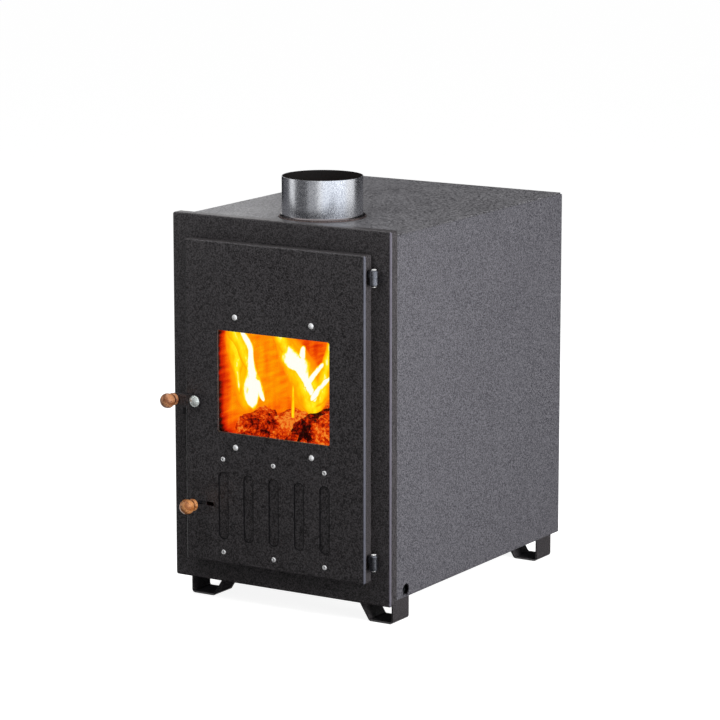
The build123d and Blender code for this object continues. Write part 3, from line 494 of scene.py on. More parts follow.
def seen_by_eye_metal_and_glass(tree: Tree) -> Node:
    """Adds the test for rays that see the white background.

    Args:
        tree: The node tree of a backdrop or of the world.

    Returns:
        The node that gives one for camera, glossy and transmission rays, and nought for the others.
    """
    path = add(tree, "LightPath").outputs
    two = add(tree, "Math", (path["Is Camera Ray"], path["Is Glossy Ray"]))
    return add(tree, "Math", (two, path["Is Transmission Ray"]), use_clamp=True)


COAT = PowderCoat("powder_coat_casing", low="#323136", high="#6a696e")
# The top is seen at a flat angle, so its pebbles are drawn larger still.
TOP_COAT = PowderCoat("powder_coat_top", low="#29282b", high="#777679", pebble=3.0, relief=0.15)
FRONT_COAT = PowderCoat("powder_coat_front", low="#191718", high="#4c494b")
# The right bends of the panel and door get a painted highlight; the door's left bend gets painted shade.
PANEL_COAT = replace(FRONT_COAT, name="powder_coat_front_panel", painted_bends=((219.0, -290.5, "#5e5b65"),))
DOOR_PAINTED_BENDS = ((182.5, -314.0, "#575862"), (-179.5, -314.0, "#08080a"))
DOOR_COAT = replace(FRONT_COAT, name="powder_coat_door", painted_bends=DOOR_PAINTED_BENDS)
# Black steel for the latch parts; on the vent rims the same black is painted shade.
BLACKENED_AND_SHADE = PowderCoat("blackened_steel_and_painted_shade", low="#030304", high="#0d0c10", roughness=0.6)
HINGE_STEEL = BrightMetal("blued_hinge_steel", low="#4c4d53", high="#8e9097", roughness=0.32, grain=1.5)
FLUE = FlueSteel("stainless_flue")
BURNT = BrightMetal("burnt_sealing_bead", low="#5b4d4b", high="#a3928e", roughness=0.5, grain=3.0)
ZINC = BrightMetal("bright_zinc_plate", "#dcdcde", "#f8f8f8", 0.4, grain=1.2, relief=0.1, metal=0.4)
BLUE_ZINC = BrightMetal("dull_zinc_plate", "#b4bcb8", "#f6fbf8", roughness=0.28, grain=3.0, metal=0.45)
# Nearly white and barely metal, so the pin ends show a painted glint.
GLINT_CAP = BrightMetal("hinge_cap_painted_glint", "#f4f4f4", "#ffffff", roughness=0.3, grain=1.2, metal=0.1)
GALVANISED = BrightMetal("galvanised_steel", low="#7d8184", high="#a9adb0", roughness=0.42, grain=9.0)
SOOT_AND_PAINTED_FIRELIGHT = SootWithPaintedFirelight("sooted_firebox_steel_painted_firelight")
IRON = CastIron("burnt_cast_iron")
BEECH_UPPER = TurnedBeech("turned_beech_upper", pale="#b98058", warm="#85502f", fleck="#55301b")
BEECH_LOWER = TurnedBeech("turned_beech_lower", pale="#c98a55", warm="#9a5c2c", fleck="#5f381b")
GLASS = FireGlass("glass_ceramic")
ROPE = KnittedGlass("knitted_glass_fibre")
ASH = WoodAsh("wood_ash")


def dress(finish: Finish, *nodes: str) -> None:
    """Gives CAD nodes a finish.

    Args:
        finish: The finish that they get.
        nodes: The nodes' names.
    """
    for name in nodes:
        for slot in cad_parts[name].material_slots:
            slot.material = finish.material()
        LOG.info("%s is dressed in %s", name, finish.name)


class Blank:
    """A primitive on the bench, shaped in edit mode and then finished as a piece."""

    def __init__(self, start: Callable[..., object], **settings: object) -> None:
        """Adds the primitive by itself and opens it in edit mode.

        Args:
            start: The operator that adds the primitive.
            settings: What the operator is given.
        """
        bpy.ops.object.select_all(action="DESELECT")
        start(**settings)
        self.piece = bpy.context.active_object
        bpy.ops.object.mode_set(mode="EDIT")

    def pick(self, kind: Pick, test: Callable[[object], bool]) -> None:
        """Selects points or faces by a test of their place or normal.

        Args:
            kind: What is selected.
            test: Says yes for each one that is wanted.
        """
        bpy.ops.mesh.select_mode(type=kind.value)
        bpy.ops.mesh.select_all(action="DESELECT")
        mesh = bmesh.from_edit_mesh(self.piece.data)
        for part in mesh.verts if kind is Pick.POINTS else mesh.faces:
            part.select_set(bool(test(part)))
        mesh.select_flush_mode()
        bmesh.update_edit_mesh(self.piece.data)

    def modify(self, kind: str, **settings: object) -> None:
        """Adds a modifier and applies it.

        Args:
            kind: The modifier's type.
            settings: The modifier's settings.
        """
        bpy.ops.object.mode_set(mode="OBJECT")
        modifier = self.piece.modifiers.new(kind.lower(), kind)
        for name, value in settings.items():
            setattr(modifier, name, value)
        bpy.ops.object.modifier_apply(modifier=modifier.name)
        bpy.ops.object.mode_set(mode="EDIT")

    def roughen(self, name: str, kind: str, size: float, strength: float, **settings: object) -> None:
        """Moves the surface in and out by a texture.

        Args:
            name: The texture's name.
            kind: The texture's type.
            size: The size of its marks.
            strength: How far its brightest mark stands above its darkest.
            settings: The modifier's other settings.
        """
        texture = bpy.data.textures.get(name) or bpy.data.textures.new(name, kind)
        texture.noise_scale = size * MM
        self.modify("DISPLACE", texture=texture, strength=strength * MM, **settings)

    def close(self, name: str, finish: Finish, smooth: float = 40.0) -> Piece:
        """Merges doubles, turns the faces outwards, applies the place and gives the finish.

        Args:
            name: The piece's name.
            finish: The finish that it gets.
            smooth: The angle in degrees up to which edges look round.

        Returns:
            The finished piece.
        """
        bpy.ops.mesh.select_all(action="SELECT")
        bpy.ops.mesh.remove_doubles(threshold=0.02 * MM)
        bpy.ops.mesh.normals_make_consistent(inside=False)
        bpy.ops.object.mode_set(mode="OBJECT")
        bpy.ops.object.transform_apply()
        bpy.ops.object.shade_smooth_by_angle(angle=math.radians(smooth))
        self.piece.name = name
        self.piece.data.name = name
        self.piece.data.materials.clear()
        self.piece.data.materials.append(finish.material())
        return self.piece


def join(pieces: Sequence[Piece], name: str) -> Piece:
    """Joins pieces into one.

    Args:
        pieces: The pieces, of which the first keeps its material.
        name: The new piece's name.

    Returns:
        The joined piece.
    """
    bpy.ops.object.select_all(action="DESELECT")
    for piece in pieces:
        piece.select_set(True)
    bpy.context.view_layer.objects.active = pieces[0]
    if len(pieces) > 1:
        bpy.ops.object.join()
    pieces[0].name = name
    pieces[0].data.name = name
    return pieces[0]


def mount(piece: Piece, body: Body) -> None:
    """Lets a piece ride on a body, and says so.

    Args:
        piece: The finished piece.
        body: The body that it rides on.
    """
    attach(piece, body.value)
    LOG.info("%s rides on the %s", piece.name, body.value)


def standing_rings(rings: Sequence[Ring], sides: int) -> Blank:
    """Pulls a disc upwards through rings.

    Args:
        rings: Centre x, y and z, then half width and half depth, of each level ring from the lowest up.
        sides: The number of corners of each ring.

    Returns:
        The shape on the bench, closed at both ends.
    """
    x, y, z, half_x, half_y = (v * MM for v in rings[0])
    blank = Blank(
        bpy.ops.mesh.primitive_circle_add, vertices=sides, radius=1.0, fill_type="NGON", location=(x, y, z)
    )
    bpy.ops.transform.resize(value=(half_x, half_y, 1.0), center_override=(x, y, z))
    for ring in rings[1:]:
        next_x, next_y, next_z, next_half_x, next_half_y = (v * MM for v in ring)
        step = (next_x - x, next_y - y, next_z - z)
        bpy.ops.mesh.extrude_region_move(TRANSFORM_OT_translate={"value": step})
        x, y, z = next_x, next_y, next_z
        growth = (next_half_x / half_x, next_half_y / half_y, 1.0)
        bpy.ops.transform.resize(value=growth, center_override=(x, y, z))
        half_x, half_y = next_half_x, next_half_y
    return blank


def turned(profile: Profile, sides: int, foot: Triple) -> Blank:
    """Pulls a round head out of a disc and points it to the front.

    Args:
        profile: Radius and distance in front of the foot, from the back of the piece round to its middle.
        sides: The number of corners of each ring.
        foot: The point on the piece's axis that the distances start from.

    Returns:
        The shape on the bench.
    """
    blank = standing_rings([(0.0, 0.0, reach, radius, radius) for radius, reach in profile], sides)
    bpy.ops.mesh.select_all(action="SELECT")
    bpy.ops.transform.rotate(value=-math.pi / 2, orient_axis="X", center_override=(0.0, 0.0, 0.0))
    bpy.ops.transform.translate(value=Vector(foot) * MM)
    return blank


def double(piece: Piece) -> Piece:
    """Copies a piece, with its own mesh, and leaves the copy alone selected.

    Args:
        piece: The modelled piece.

    Returns:
        The copy.
    """
    bpy.ops.object.select_all(action="DESELECT")
    piece.select_set(True)
    bpy.context.view_layer.objects.active = piece
    bpy.ops.object.duplicate(linked=False)
    return bpy.context.active_object


def copies(piece: Piece, steps: Sequence[Triple]) -> list[Piece]:
    """Copies a piece to other places.

    Args:
        piece: The modelled piece.
        steps: How far each copy stands from it.

    Returns:
        The piece and its copies.
    """
    made = [piece]
    for step in steps:
        made.append(double(piece))
        bpy.ops.transform.translate(value=Vector(step) * MM)
        bpy.ops.object.transform_apply()
    return made


def heap(middle: Triple, size: Triple, floor: float, fineness: int, marks: tuple[str, str, float]) -> Blank:
    """Swells a flattened ball with a texture and cuts it off at its floor.

    Args:
        middle: Its middle, in metres.
        size: Its three half sizes, in metres.
        floor: The height of its floor, in metres.
        fineness: How many times the ball's faces are divided.
        marks: Name, type and size of the texture that moves its surface.

    Returns:
        The shape on the bench.
    """
    ball = bpy.ops.mesh.primitive_ico_sphere_add
    blank = Blank(ball, subdivisions=fineness, radius=1.0, location=middle, scale=size)
    bpy.ops.object.mode_set(mode="OBJECT")
    bpy.ops.object.transform_apply()
    blank.roughen(*marks, strength=14.0, mid_level=0.6, texture_coords="LOCAL")
    bpy.ops.mesh.select_all(action="SELECT")
    bpy.ops.mesh.bisect(plane_co=(0.0, 0.0, floor), plane_no=UP, use_fill=True, clear_inner=True)
    return blank


@dataclass
class Casing:
    """The black sheet casing on its feet, with the flue spigot and the pipes."""

    coated: tuple[str, ...] = ("side_panel_left", "side_panel_right", "rear_panel", "base_plate")
    feet: tuple[str, ...] = ("foot_front_left", "foot_front_right", "foot_rear_left", "foot_rear_right")
    flue_foot: Triple = (0.0, -155.5, 670.5)
    flue_foot_radius: float = 74.4

    def build(self) -> None:
        """Dresses the casing's sheets, its spigot, its pipes and its screws."""
        dress(COAT, *self.coated)
        dress(TOP_COAT, "top_cover")
        dress(FRONT_COAT, *self.feet)
        dress(PANEL_COAT, "front_panel")
        dress(BLACKENED_AND_SHADE, "latch_catch")
        dress(HINGE_STEEL, "hinge_frame_lower", "hinge_frame_upper")
        dress(FLUE, "flue_spigot", "smoke_tube")
        dress(GALVANISED, "water_pipe_flow", "water_pipe_return", "drain_pipe", "water_jacket")
        dress(ZINC, "rear_panel_screws", "hinge_pins")
        self.flue_bead()

    def flue_bead(self) -> None:
        """Lays the uneven bead that closes the joint between the spigot's foot and the top cover."""
        x, y, z = self.flue_foot
        blank = Blank(
            bpy.ops.mesh.primitive_torus_add,
            major_segments=180,
            minor_segments=10,
            major_radius=self.flue_foot_radius * MM,
            minor_radius=1.4 * MM,
            location=(x * MM, y * MM, (z + 0.4) * MM),
        )
        bpy.ops.transform.vertex_random(offset=0.5 * MM, seed=4)
        bpy.ops.mesh.vertices_smooth(factor=0.5)
        bpy.ops.mesh.select_all(action="SELECT")
        bpy.ops.mesh.bisect(plane_co=(0.0, 0.0, (z + 0.05) * MM), plane_no=UP, clear_inner=True)
        bpy.ops.mesh.select_all(action="DESELECT")
        bpy.ops.mesh.select_mode(type="EDGE")
        bpy.ops.mesh.select_non_manifold()
        bpy.ops.mesh.bridge_edge_loops()
        mount(blank.close("flue_bead", BURNT, smooth=70.0), Body.CASING)


@dataclass
class HingeEnds:
    """The hinge pins' domed ends, above the door's knuckles and under the casing's, white as a painted glint.
    """

    axis: Pair = (193.0, -302.5)
    middles: Pair = (115.5, 600.5)
    half: float = 14.0
    # Radius and height above the knuckle, from the rim to the crown.
    dome: Profile = ((4.4, -0.3), (4.4, 0.2), (4.0, 0.6), (3.1, 0.9), (1.9, 1.1), (0.7, 1.2))

    def build(self) -> None:
        """Sets a dome on each end of both pins."""
        for name, body, way in (("hinge_tops", Body.DOOR, 1.0), ("hinge_bottoms", Body.CASING, -1.0)):
            made = []
            for middle in self.middles:
                end = middle + way * self.half
                rings = [(*self.axis, end + way * rise, radius, radius) for radius, rise in self.dome]
                made.append(standing_rings(rings, 24).close(name, GLINT_CAP, smooth=50.0))
            mount(join(made, name), body)


@dataclass
class Door:
    """The door tray with its window, its seal, its vents and what holds them."""

    front_y: float = -314.0
    rivet_x: float = 102.6
    rivet_z: Pair = (97.6, 261.4)
    # Radius and distance in front of the door: the blind end, the shank, the head and the broken pin.
    rivet_back: Profile = ((1.2, -6.2), (2.6, -5.9), (3.0, -5.2), (2.9, -4.2), (2.0, -4.0), (2.0, 0.0))
    rivet_head: Profile = ((4.2, 0.0), (4.25, 0.3), (3.9, 0.8), (3.2, 1.15), (2.6, 1.3), (2.1, 1.1))
    rivet_pin: Profile = ((1.9, 0.4), (1.8, -3.2), (1.0, -3.3), (0.5, -3.3))
    # Middles, lower and upper ends, end radius and width of the painted-shade rims in the air vents.
    vent_x: tuple[float, ...] = (-102.6, -51.3, 0.0, 51.3, 102.6)
    vent_z: Pair = (120.0, 239.0)
    vent_radius: float = 10.45
    rim: float = 1.5

    def build(self) -> None:
        """Dresses the door's sheet, glass, rope, clamps and bolts, and sets its rivets."""
        dress(DOOR_COAT, "door_panel")
        dress(HINGE_STEEL, "hinge_door_lower", "hinge_door_upper")
        dress(IRON, "seal_frame", "glass_tape")
        dress(ROPE, "rope_seal")
        dress(GLASS, "window_glass")
        dress(GALVANISED, "glass_clamp_lower", "glass_clamp_upper", "slide_guide_lower", "slide_guide_upper")
        dress(ZINC, "glass_bolts", "glass_nuts", "latch_nut")
        dress(BLACKENED_AND_SHADE, "latch_washer")
        dress(BLUE_ZINC, "latch_bolt")
        self.rivets()
        self.vent_shade_rims()

    def vent_shade_rims(self) -> None:
        """Lines the cut edges of the vents with black rims, painted shade that darkens them."""
        low, high = self.vent_z
        blank = Blank(
            bpy.ops.mesh.primitive_circle_add,
            vertices=40,
            radius=self.vent_radius * MM,
            fill_type="NGON",
            location=(self.vent_x[0] * MM, (self.front_y + 0.5) * MM, (low + self.vent_radius) * MM),
            rotation=(math.pi / 2, 0.0, 0.0),
        )
        blank.pick(Pick.POINTS, lambda point: point.co.y > 0.01 * MM)
        bpy.ops.transform.translate(value=(0.0, 0.0, (high - low - 2 * self.vent_radius) * MM))
        bpy.ops.mesh.select_all(action="SELECT")
        bpy.ops.mesh.inset(thickness=self.rim * MM)
        bpy.ops.mesh.delete(type="FACE")
        bpy.ops.mesh.select_all(action="SELECT")
        bpy.ops.mesh.extrude_region_move(TRANSFORM_OT_translate={"value": (0.0, 1.3 * MM, 0.0)})
        first = blank.close("vent_shade_rim", BLACKENED_AND_SHADE, smooth=35.0)
        steps = [(x - self.vent_x[0], 0.0, 0.0) for x in self.vent_x[1:]]
        mount(join(copies(first, steps), "vent_shade_rims"), Body.DOOR)

    def rivets(self) -> None:
        """Turns one blind rivet with its hollow head and its broken pin, and sets six."""
        low, high = self.rivet_z
        profile = (*self.rivet_back, *self.rivet_head, *self.rivet_pin)
        blank = turned(profile, 20, (-self.rivet_x, self.front_y, low))
        first = blank.close("blind_rivet", ZINC, smooth=35.0)
        steps = [
            (x + self.rivet_x, 0.0, z - low)
            for x in (-self.rivet_x, 0.0, self.rivet_x)
            for z in (low, high)
            if (x, z) != (-self.rivet_x, low)
        ]
        piece = join(copies(first, steps), "blind_rivets")
        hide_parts("guide_rivets")
        mount(piece, Body.DOOR)


@dataclass
class Latch:
    """The latch lever with its hook and its wooden knob."""

    def build(self) -> None:
        """Dresses the lever, the hook and the knob."""
        dress(FRONT_COAT, "latch_lever")
        dress(BLACKENED_AND_SHADE, "latch_hook")
        dress(BEECH_UPPER, "latch_knob")
        dress(ZINC, "latch_knob_screw")


@dataclass
class AirSlider:
    """The air slide behind the vents, with its stem and its wooden knob."""

    def build(self) -> None:
        """Dresses the slide, the stem and the knob."""
        dress(FRONT_COAT, "air_slide")
        dress(HINGE_STEEL, "air_stem")
        dress(BEECH_LOWER, "air_knob")


@dataclass(frozen=True)
class Tongue:
    """One tongue of flame: a sheet that bulges towards the door."""

    gas: FlameGas
    foot: Pair
    # Distance to the right along the sheet, height, and half width, from the root to the tip.
    rows: Sequence[Triple]
    # Columns and size of the grid that it is drawn from, how far its middle bulges, and the height at which
    # it starts, clear of all else.
    columns: int = 8
    size: float = 20.0
    bulge: float = 5.0
    start: float = 5000.0

    def sheet(self) -> Piece:
        """Stands a grid up far above the stove and draws its rows down to their places, one by one.

        Returns:
            The finished sheet.
        """
        turn = math.radians(FLAME_TURN)
        aside = Vector((math.cos(turn), math.sin(turn), 0.0))
        foot_x, foot_y, start = self.foot[0] * MM, self.foot[1] * MM, self.start * MM
        steps, reach, across = len(self.rows) - 1, self.size / 2, self.columns // 2
        blank = Blank(
            bpy.ops.mesh.primitive_grid_add,
            x_subdivisions=self.columns,
            y_subdivisions=steps,
            size=self.size * MM,
            calc_uvs=True,
            location=(foot_x, foot_y, start),
            rotation=(math.pi / 2, 0.0, turn),
        )
        for column in range(-across, across + 1):
            x = column * self.size / self.columns * MM
            blank.pick(Pick.POINTS, lambda point: abs(point.co.x - x) < NEAR * MM)
            bulge = self.bulge * (1.0 - (column / across) ** 2)
            bpy.ops.transform.translate(value=Vector((aside.y, -aside.x, 0.0)) * bulge * MM)
        for number, (step, height, half) in enumerate(self.rows):
            y = (self.size * number / steps - reach) * MM
            blank.pick(Pick.POINTS, lambda point: abs(point.co.y - y) < NEAR * MM)
            bpy.ops.transform.resize(value=(half / reach,) * 3, center_override=(foot_x, foot_y, start + y))
            rise = height * MM - (start + y)
            bpy.ops.transform.translate(value=(step * MM * aside.x, step * MM * aside.y, rise))
        blank.modify("SUBSURF", levels=2, render_levels=2)
        return blank.close("tongue", self.gas, smooth=180.0)


@dataclass(frozen=True)
class Log:
    """One burning log on the grate."""

    char: CharredWood
    front: Triple
    back: Triple
    wide: float
    thick: float
    turn: float = 0.0

    def piece(self, number: int) -> Piece:
        """Splits a rough log from a column, rounds its burnt ends and cracks it into charcoal.

        Args:
            number: The log's number.

        Returns:
            The finished log.
        """
        span = Vector(self.back) - Vector(self.front)
        middle = (Vector(self.back) + Vector(self.front)) / 2
        blank = Blank(
            bpy.ops.mesh.primitive_cylinder_add,
            vertices=7,
            radius=1.0,
            depth=span.length * MM,
            end_fill_type="NGON",
            location=middle * MM,
            rotation=span.to_track_quat("Z", "Y").to_euler(),
            scale=(self.wide * MM, self.thick * MM, 1.0),
        )
        blank.pick(Pick.FACES, lambda face: abs(face.normal.z) > 0.9)
        bpy.ops.mesh.inset(thickness=0.22, use_even_offset=False)
        blank.pick(Pick.POINTS, lambda point: True)
        bpy.ops.mesh.subdivide(number_cuts=2, fractal=0.0, smoothness=0.0)
        blank.modify("REMESH", mode="VOXEL", voxel_size=3.4 * MM)
        for name, kind, size, strength in (
            ("log_bends", "CLOUDS", 60.0, 16.0),
            ("log_blocks", "VORONOI", 17.0, 7.0),
            ("log_crumbs", "CLOUDS", 5.0, 2.4),
        ):
            blank.roughen(name, kind, size, strength, mid_level=0.5, texture_coords="GLOBAL")
        return blank.close(f"burning_log_{number}", self.char, smooth=60.0)


@dataclass
class Fire:
    """The burning fire: logs, coals, embers and flames on the grate, with ash in the pan."""

    white: FlameGas = FlameGas("white_flame", heart=1.05, swirl=8.0, ragged=0.85)
    yellow: FlameGas = FlameGas("yellow_flame", heart=0.36, swirl=9.0, ragged=0.7)
    haze: FlameGas = FlameGas("orange_flame", heart=0.2, swirl=20.0, ragged=1.1, density=0.85)
    cold: CharredWood = CharredWood("charred_log", heat=0.14)
    warm: CharredWood = CharredWood("burning_log", heat=0.63)
    hot: CharredWood = CharredWood("glowing_log", heat=0.73)
    bed: CharredWood = CharredWood("glowing_embers", heat=0.5)
    # Middle in plan and half sizes of the ember bed, and how far the strewn coals climb on it and spread.
    bed_middle: Pair = (1.5, -70.0)
    bed_half: Triple = (156.0, 190.0, 22.0)
    bed_rise: float = 16.0
    coals_x: Pair = (-142.0, 142.0)
    coals_y: Pair = (-250.0, 100.0)
    coal_copies: int = 15
    # Each gas's tongues, from the back to the front. A tongue is its foot in plan and then, from its root to
    # its tip, how far each row stands to the right along the sheet, its height and its half width.
    haze_tongues: Tongues = (
        (
            (-60, -118), (10, 300, 8), (8, 318, 30), (8, 338, 42), (8, 359, 44), (3, 380, 38),
            (-7, 400, 32), (-18, 420, 30), (-30, 439, 26), (-38, 458, 20), (-42, 480, 12),
        ),
        (
            (-119, -190), (-12, 318, 6), (-14, 345, 20), (-16, 372, 28), (-18, 400, 28), (-22, 430, 28),
            (-26, 460, 26), (-30, 488, 20),
        ),
    )
    yellow_tongues: Tongues = (
        (
            (-49, -136), (16.4, 305.2, 6), (15.4, 321.1, 17), (15.3, 336.9, 31), (13.5, 352.6, 37),
            (6.4, 368.4, 36), (-5.5, 386.2, 31), (-14.2, 403.9, 34), (-24.5, 421.6, 28), (-33.2, 437.5, 19),
            (-40, 455.2, 15), (-43.4, 468, 12), (-46, 488, 8),
        ),
        (
            (-45, -142), (19, 329, 9), (26, 343, 15), (31, 361, 17), (34, 380, 15), (37, 400, 11),
            (41, 421, 9), (45, 440, 7), (46, 460, 5),
        ),
        (
            (-42, -147), (-31.6, 424, 6), (-33.1, 434.2, 12), (-36.2, 443.4, 17), (-39.8, 452.6, 18),
            (-42.3, 461.8, 15), (-45, 474, 12),
        ),
        (
            (-39, -154), (-19.3, 300, 1.6), (-19.3, 311, 3), (-19.2, 325, 3.8), (-18.8, 341, 3.6),
            (-18.6, 358, 3.2), (-18.7, 376, 1.6),
        ),
        (
            (-113, -199), (-25, 352, 3.2), (-26.7, 372, 6), (-28.3, 389.9, 8), (-28.2, 405.8, 13),
            (-28.1, 423.4, 19), (-28.6, 439.3, 24), (-29.3, 455.1, 24), (-30.2, 470, 20), (-32, 488, 12),
        ),
        (
            (-110, -204), (-4, 392, 4), (-8.1, 406, 10), (-13.2, 420.4, 14), (-18.2, 434.7, 17),
            (-23.3, 447, 18), (-28.4, 458.5, 18), (-33.7, 470.1, 16), (-40, 488, 11),
        ),
        (
            (70, -90), (0, 318, 12), (-4, 340, 26), (-2, 364, 24), (6, 390, 16), (4, 420, 11), (-4, 450, 6),
            (-8, 476, 3),
        ),
    )
    white_tongues: Tongues = (
        (
            (-40, -150), (18.5, 337.2, 5), (16.4, 346.1, 8.5), (13.4, 355, 10), (9.7, 363, 9),
            (5.6, 371.7, 9.5), (1.3, 380.1, 10), (-2.6, 389.4, 12), (-7.7, 397.3, 18), (-12.6, 404.4, 27),
            (-16, 413.1, 29), (-22.4, 422.3, 21), (-26.2, 432.3, 13), (-28, 444.7, 7),
        ),
        (
            (-39, -152), (-12.2, 397, 6.4), (-10.1, 406.4, 9), (-6.9, 414.8, 10), (-4.3, 422.7, 8.5),
            (-2.5, 431.1, 6), (-1.7, 441.9, 5),
        ),
        (
            (-40, -150), (1, 365.1, 6.5), (7.2, 374.9, 7.5), (11.9, 381.7, 7.5), (17.1, 389.1, 7.5),
            (22.3, 395.4, 7), (27.4, 402.2, 7), (33.5, 411.9, 5.1),
        ),
        (
            (-39, -152), (10.5, 340.7, 6.5), (16.7, 351.1, 9), (21.9, 359, 9), (27.1, 366.3, 8.5),
            (32.8, 372.6, 8.3), (38.5, 378.9, 7.7), (46.1, 387.2, 5.8),
        ),
        (
            (-105, -212), (-0.7, 328, 4.3), (-2.3, 339.7, 10.3), (-4, 348.6, 15), (-3.5, 357.4, 20),
            (-1.7, 368.1, 21), (-2.4, 382.2, 18), (-3.4, 396.3, 12), (-4.5, 410.4, 8), (-5, 422.8, 6),
            (-4.5, 433.4, 6.2), (-6.9, 443.9, 8.2), (-13.4, 455.4, 8.2), (-19.5, 468.5, 7.4), (-27, 488, 6),
        ),
        (
            (-104, -214), (18, 344, 2.6), (14.3, 355.1, 6), (8.5, 365.9, 11), (4.2, 377.3, 13),
            (0, 391.7, 7.6),
        ),
        (
            (71, -94), (0, 322, 6), (-4, 340, 16), (-2, 362, 15), (5, 386, 9), (4, 414, 6), (-3, 440, 3),
        ),
    )

    def logs(self) -> tuple[Log, ...]:
        """Lists the logs as they lie on the grate."""
        return (
            Log(self.warm, (-120.0, -204.0, 298.0), (-128.0, -140.0, 300.0), 24.0, 18.0),
            Log(self.hot, (-70.0, -206.0, 298.0), (-60.0, 70.0, 298.0), 27.0, 23.0),
            Log(self.cold, (-13.0, -204.0, 302.0), (-8.0, 80.0, 298.0), 21.0, 22.0),
            Log(self.warm, (38.0, -222.0, 306.0), (96.0, -20.0, 390.0), 25.0, 25.0),
            Log(self.warm, (60.0, -190.0, 300.0), (62.0, 90.0, 300.0), 26.0, 24.0),
            Log(self.cold, (118.0, -206.0, 300.0), (112.0, 60.0, 302.0), 24.0, 22.0),
            Log(self.warm, (-96.0, 60.0, 300.0), (84.0, 40.0, 300.0), 22.0, 20.0),
        )

    def build(self) -> None:
        """Builds the logs, the embers, the flames and the ash, and dresses what holds them."""
        dress(SOOT_AND_PAINTED_FIRELIGHT, "firebox", "baffle_plate", "baffle_rails", "grate_rails")
        dress(IRON, "grate", "ash_pan")
        for number, log in enumerate(self.logs()):
            mount(log.piece(number), Body.CASING)
        self.embers()
        self.coals()
        self.ashes()
        self.flames()

    def coals(self) -> None:
        """Breaks three coals out of cubes and strews copies of them over the ember bed."""
        draw = random.Random(11)
        made = []
        for number in range(3):
            shape = (1.0, 0.8 + 0.2 * number, 0.7)
            blank = Blank(bpy.ops.mesh.primitive_cube_add, size=17.0 * MM, scale=shape)
            bpy.ops.mesh.subdivide(number_cuts=2)
            bpy.ops.transform.vertex_random(offset=2.6 * MM, seed=number + 3)
            bpy.ops.mesh.bevel(offset=1.4 * MM, segments=1)
            first = blank.close("coal", self.hot if number else self.warm, smooth=25.0)
            for _ in range(self.coal_copies):
                made.append(self.strewn(first, draw))
            bpy.data.objects.remove(first, do_unlink=True)
        mount(join(made, "coals"), Body.CASING)

    def strewn(self, coal: Piece, draw: random.Random) -> Piece:
        """Copies a coal to a drawn place on the embers.

        Args:
            coal: The coal to copy.
            draw: The seeded source of places and turns.

        Returns:
            The copy, with its place in its mesh.
        """
        copy = double(coal)
        copy.rotation_euler = [draw.uniform(0.0, 6.3) for _ in range(3)]
        copy.scale = [draw.uniform(0.6, 1.3)] * 3
        x, y = draw.uniform(*self.coals_x), draw.uniform(*self.coals_y)
        across, along = x / self.bed_half[0], (y - self.bed_middle[1]) / self.bed_half[1]
        rise = max(0.0, 1.0 - across**2 - along**2) ** 0.5
        copy.location = Vector((x, y, GRATE_TOP + 5.0 + self.bed_rise * rise)) * MM
        bpy.ops.object.transform_apply()
        return copy

    def ashes(self) -> None:
        """Heaps fallen ash in the pan."""
        low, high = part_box("ash_pan")
        level = low[2] + 3.0 * MM
        middle = ((low[0] + high[0]) / 2, (low[1] + high[1]) / 2, level)
        size = (0.44 * (high[0] - low[0]), 0.44 * (high[1] - low[1]), 0.38 * (high[2] - low[2]))
        blank = heap(middle, size, level, 5, ("ash_drifts", "CLOUDS", 45.0))
        mount(blank.close("ash_heap", ASH, smooth=60.0), Body.CASING)

    def flames(self) -> None:
        """Builds the tongues and joins those of one gas."""
        tables = (self.haze_tongues, self.yellow_tongues, self.white_tongues)
        for gas, tongues in zip((self.haze, self.yellow, self.white), tables):
            made = [Tongue(gas, foot, rows).sheet() for foot, *rows in tongues]
            mount(join(made, f"{gas.name}s"), Body.CASING)

    def embers(self) -> None:
        """Heaps the ember bed on the grate."""
        x, y = self.bed_middle
        middle = (x * MM, y * MM, (GRATE_TOP - 4.0) * MM)
        size = tuple(v * MM for v in self.bed_half)
        blank = heap(middle, size, (GRATE_TOP + 0.3) * MM, 6, ("ember_lumps", "VORONOI", 20.0))
        mount(blank.close("ember_bed", self.bed, smooth=50.0), Body.CASING)


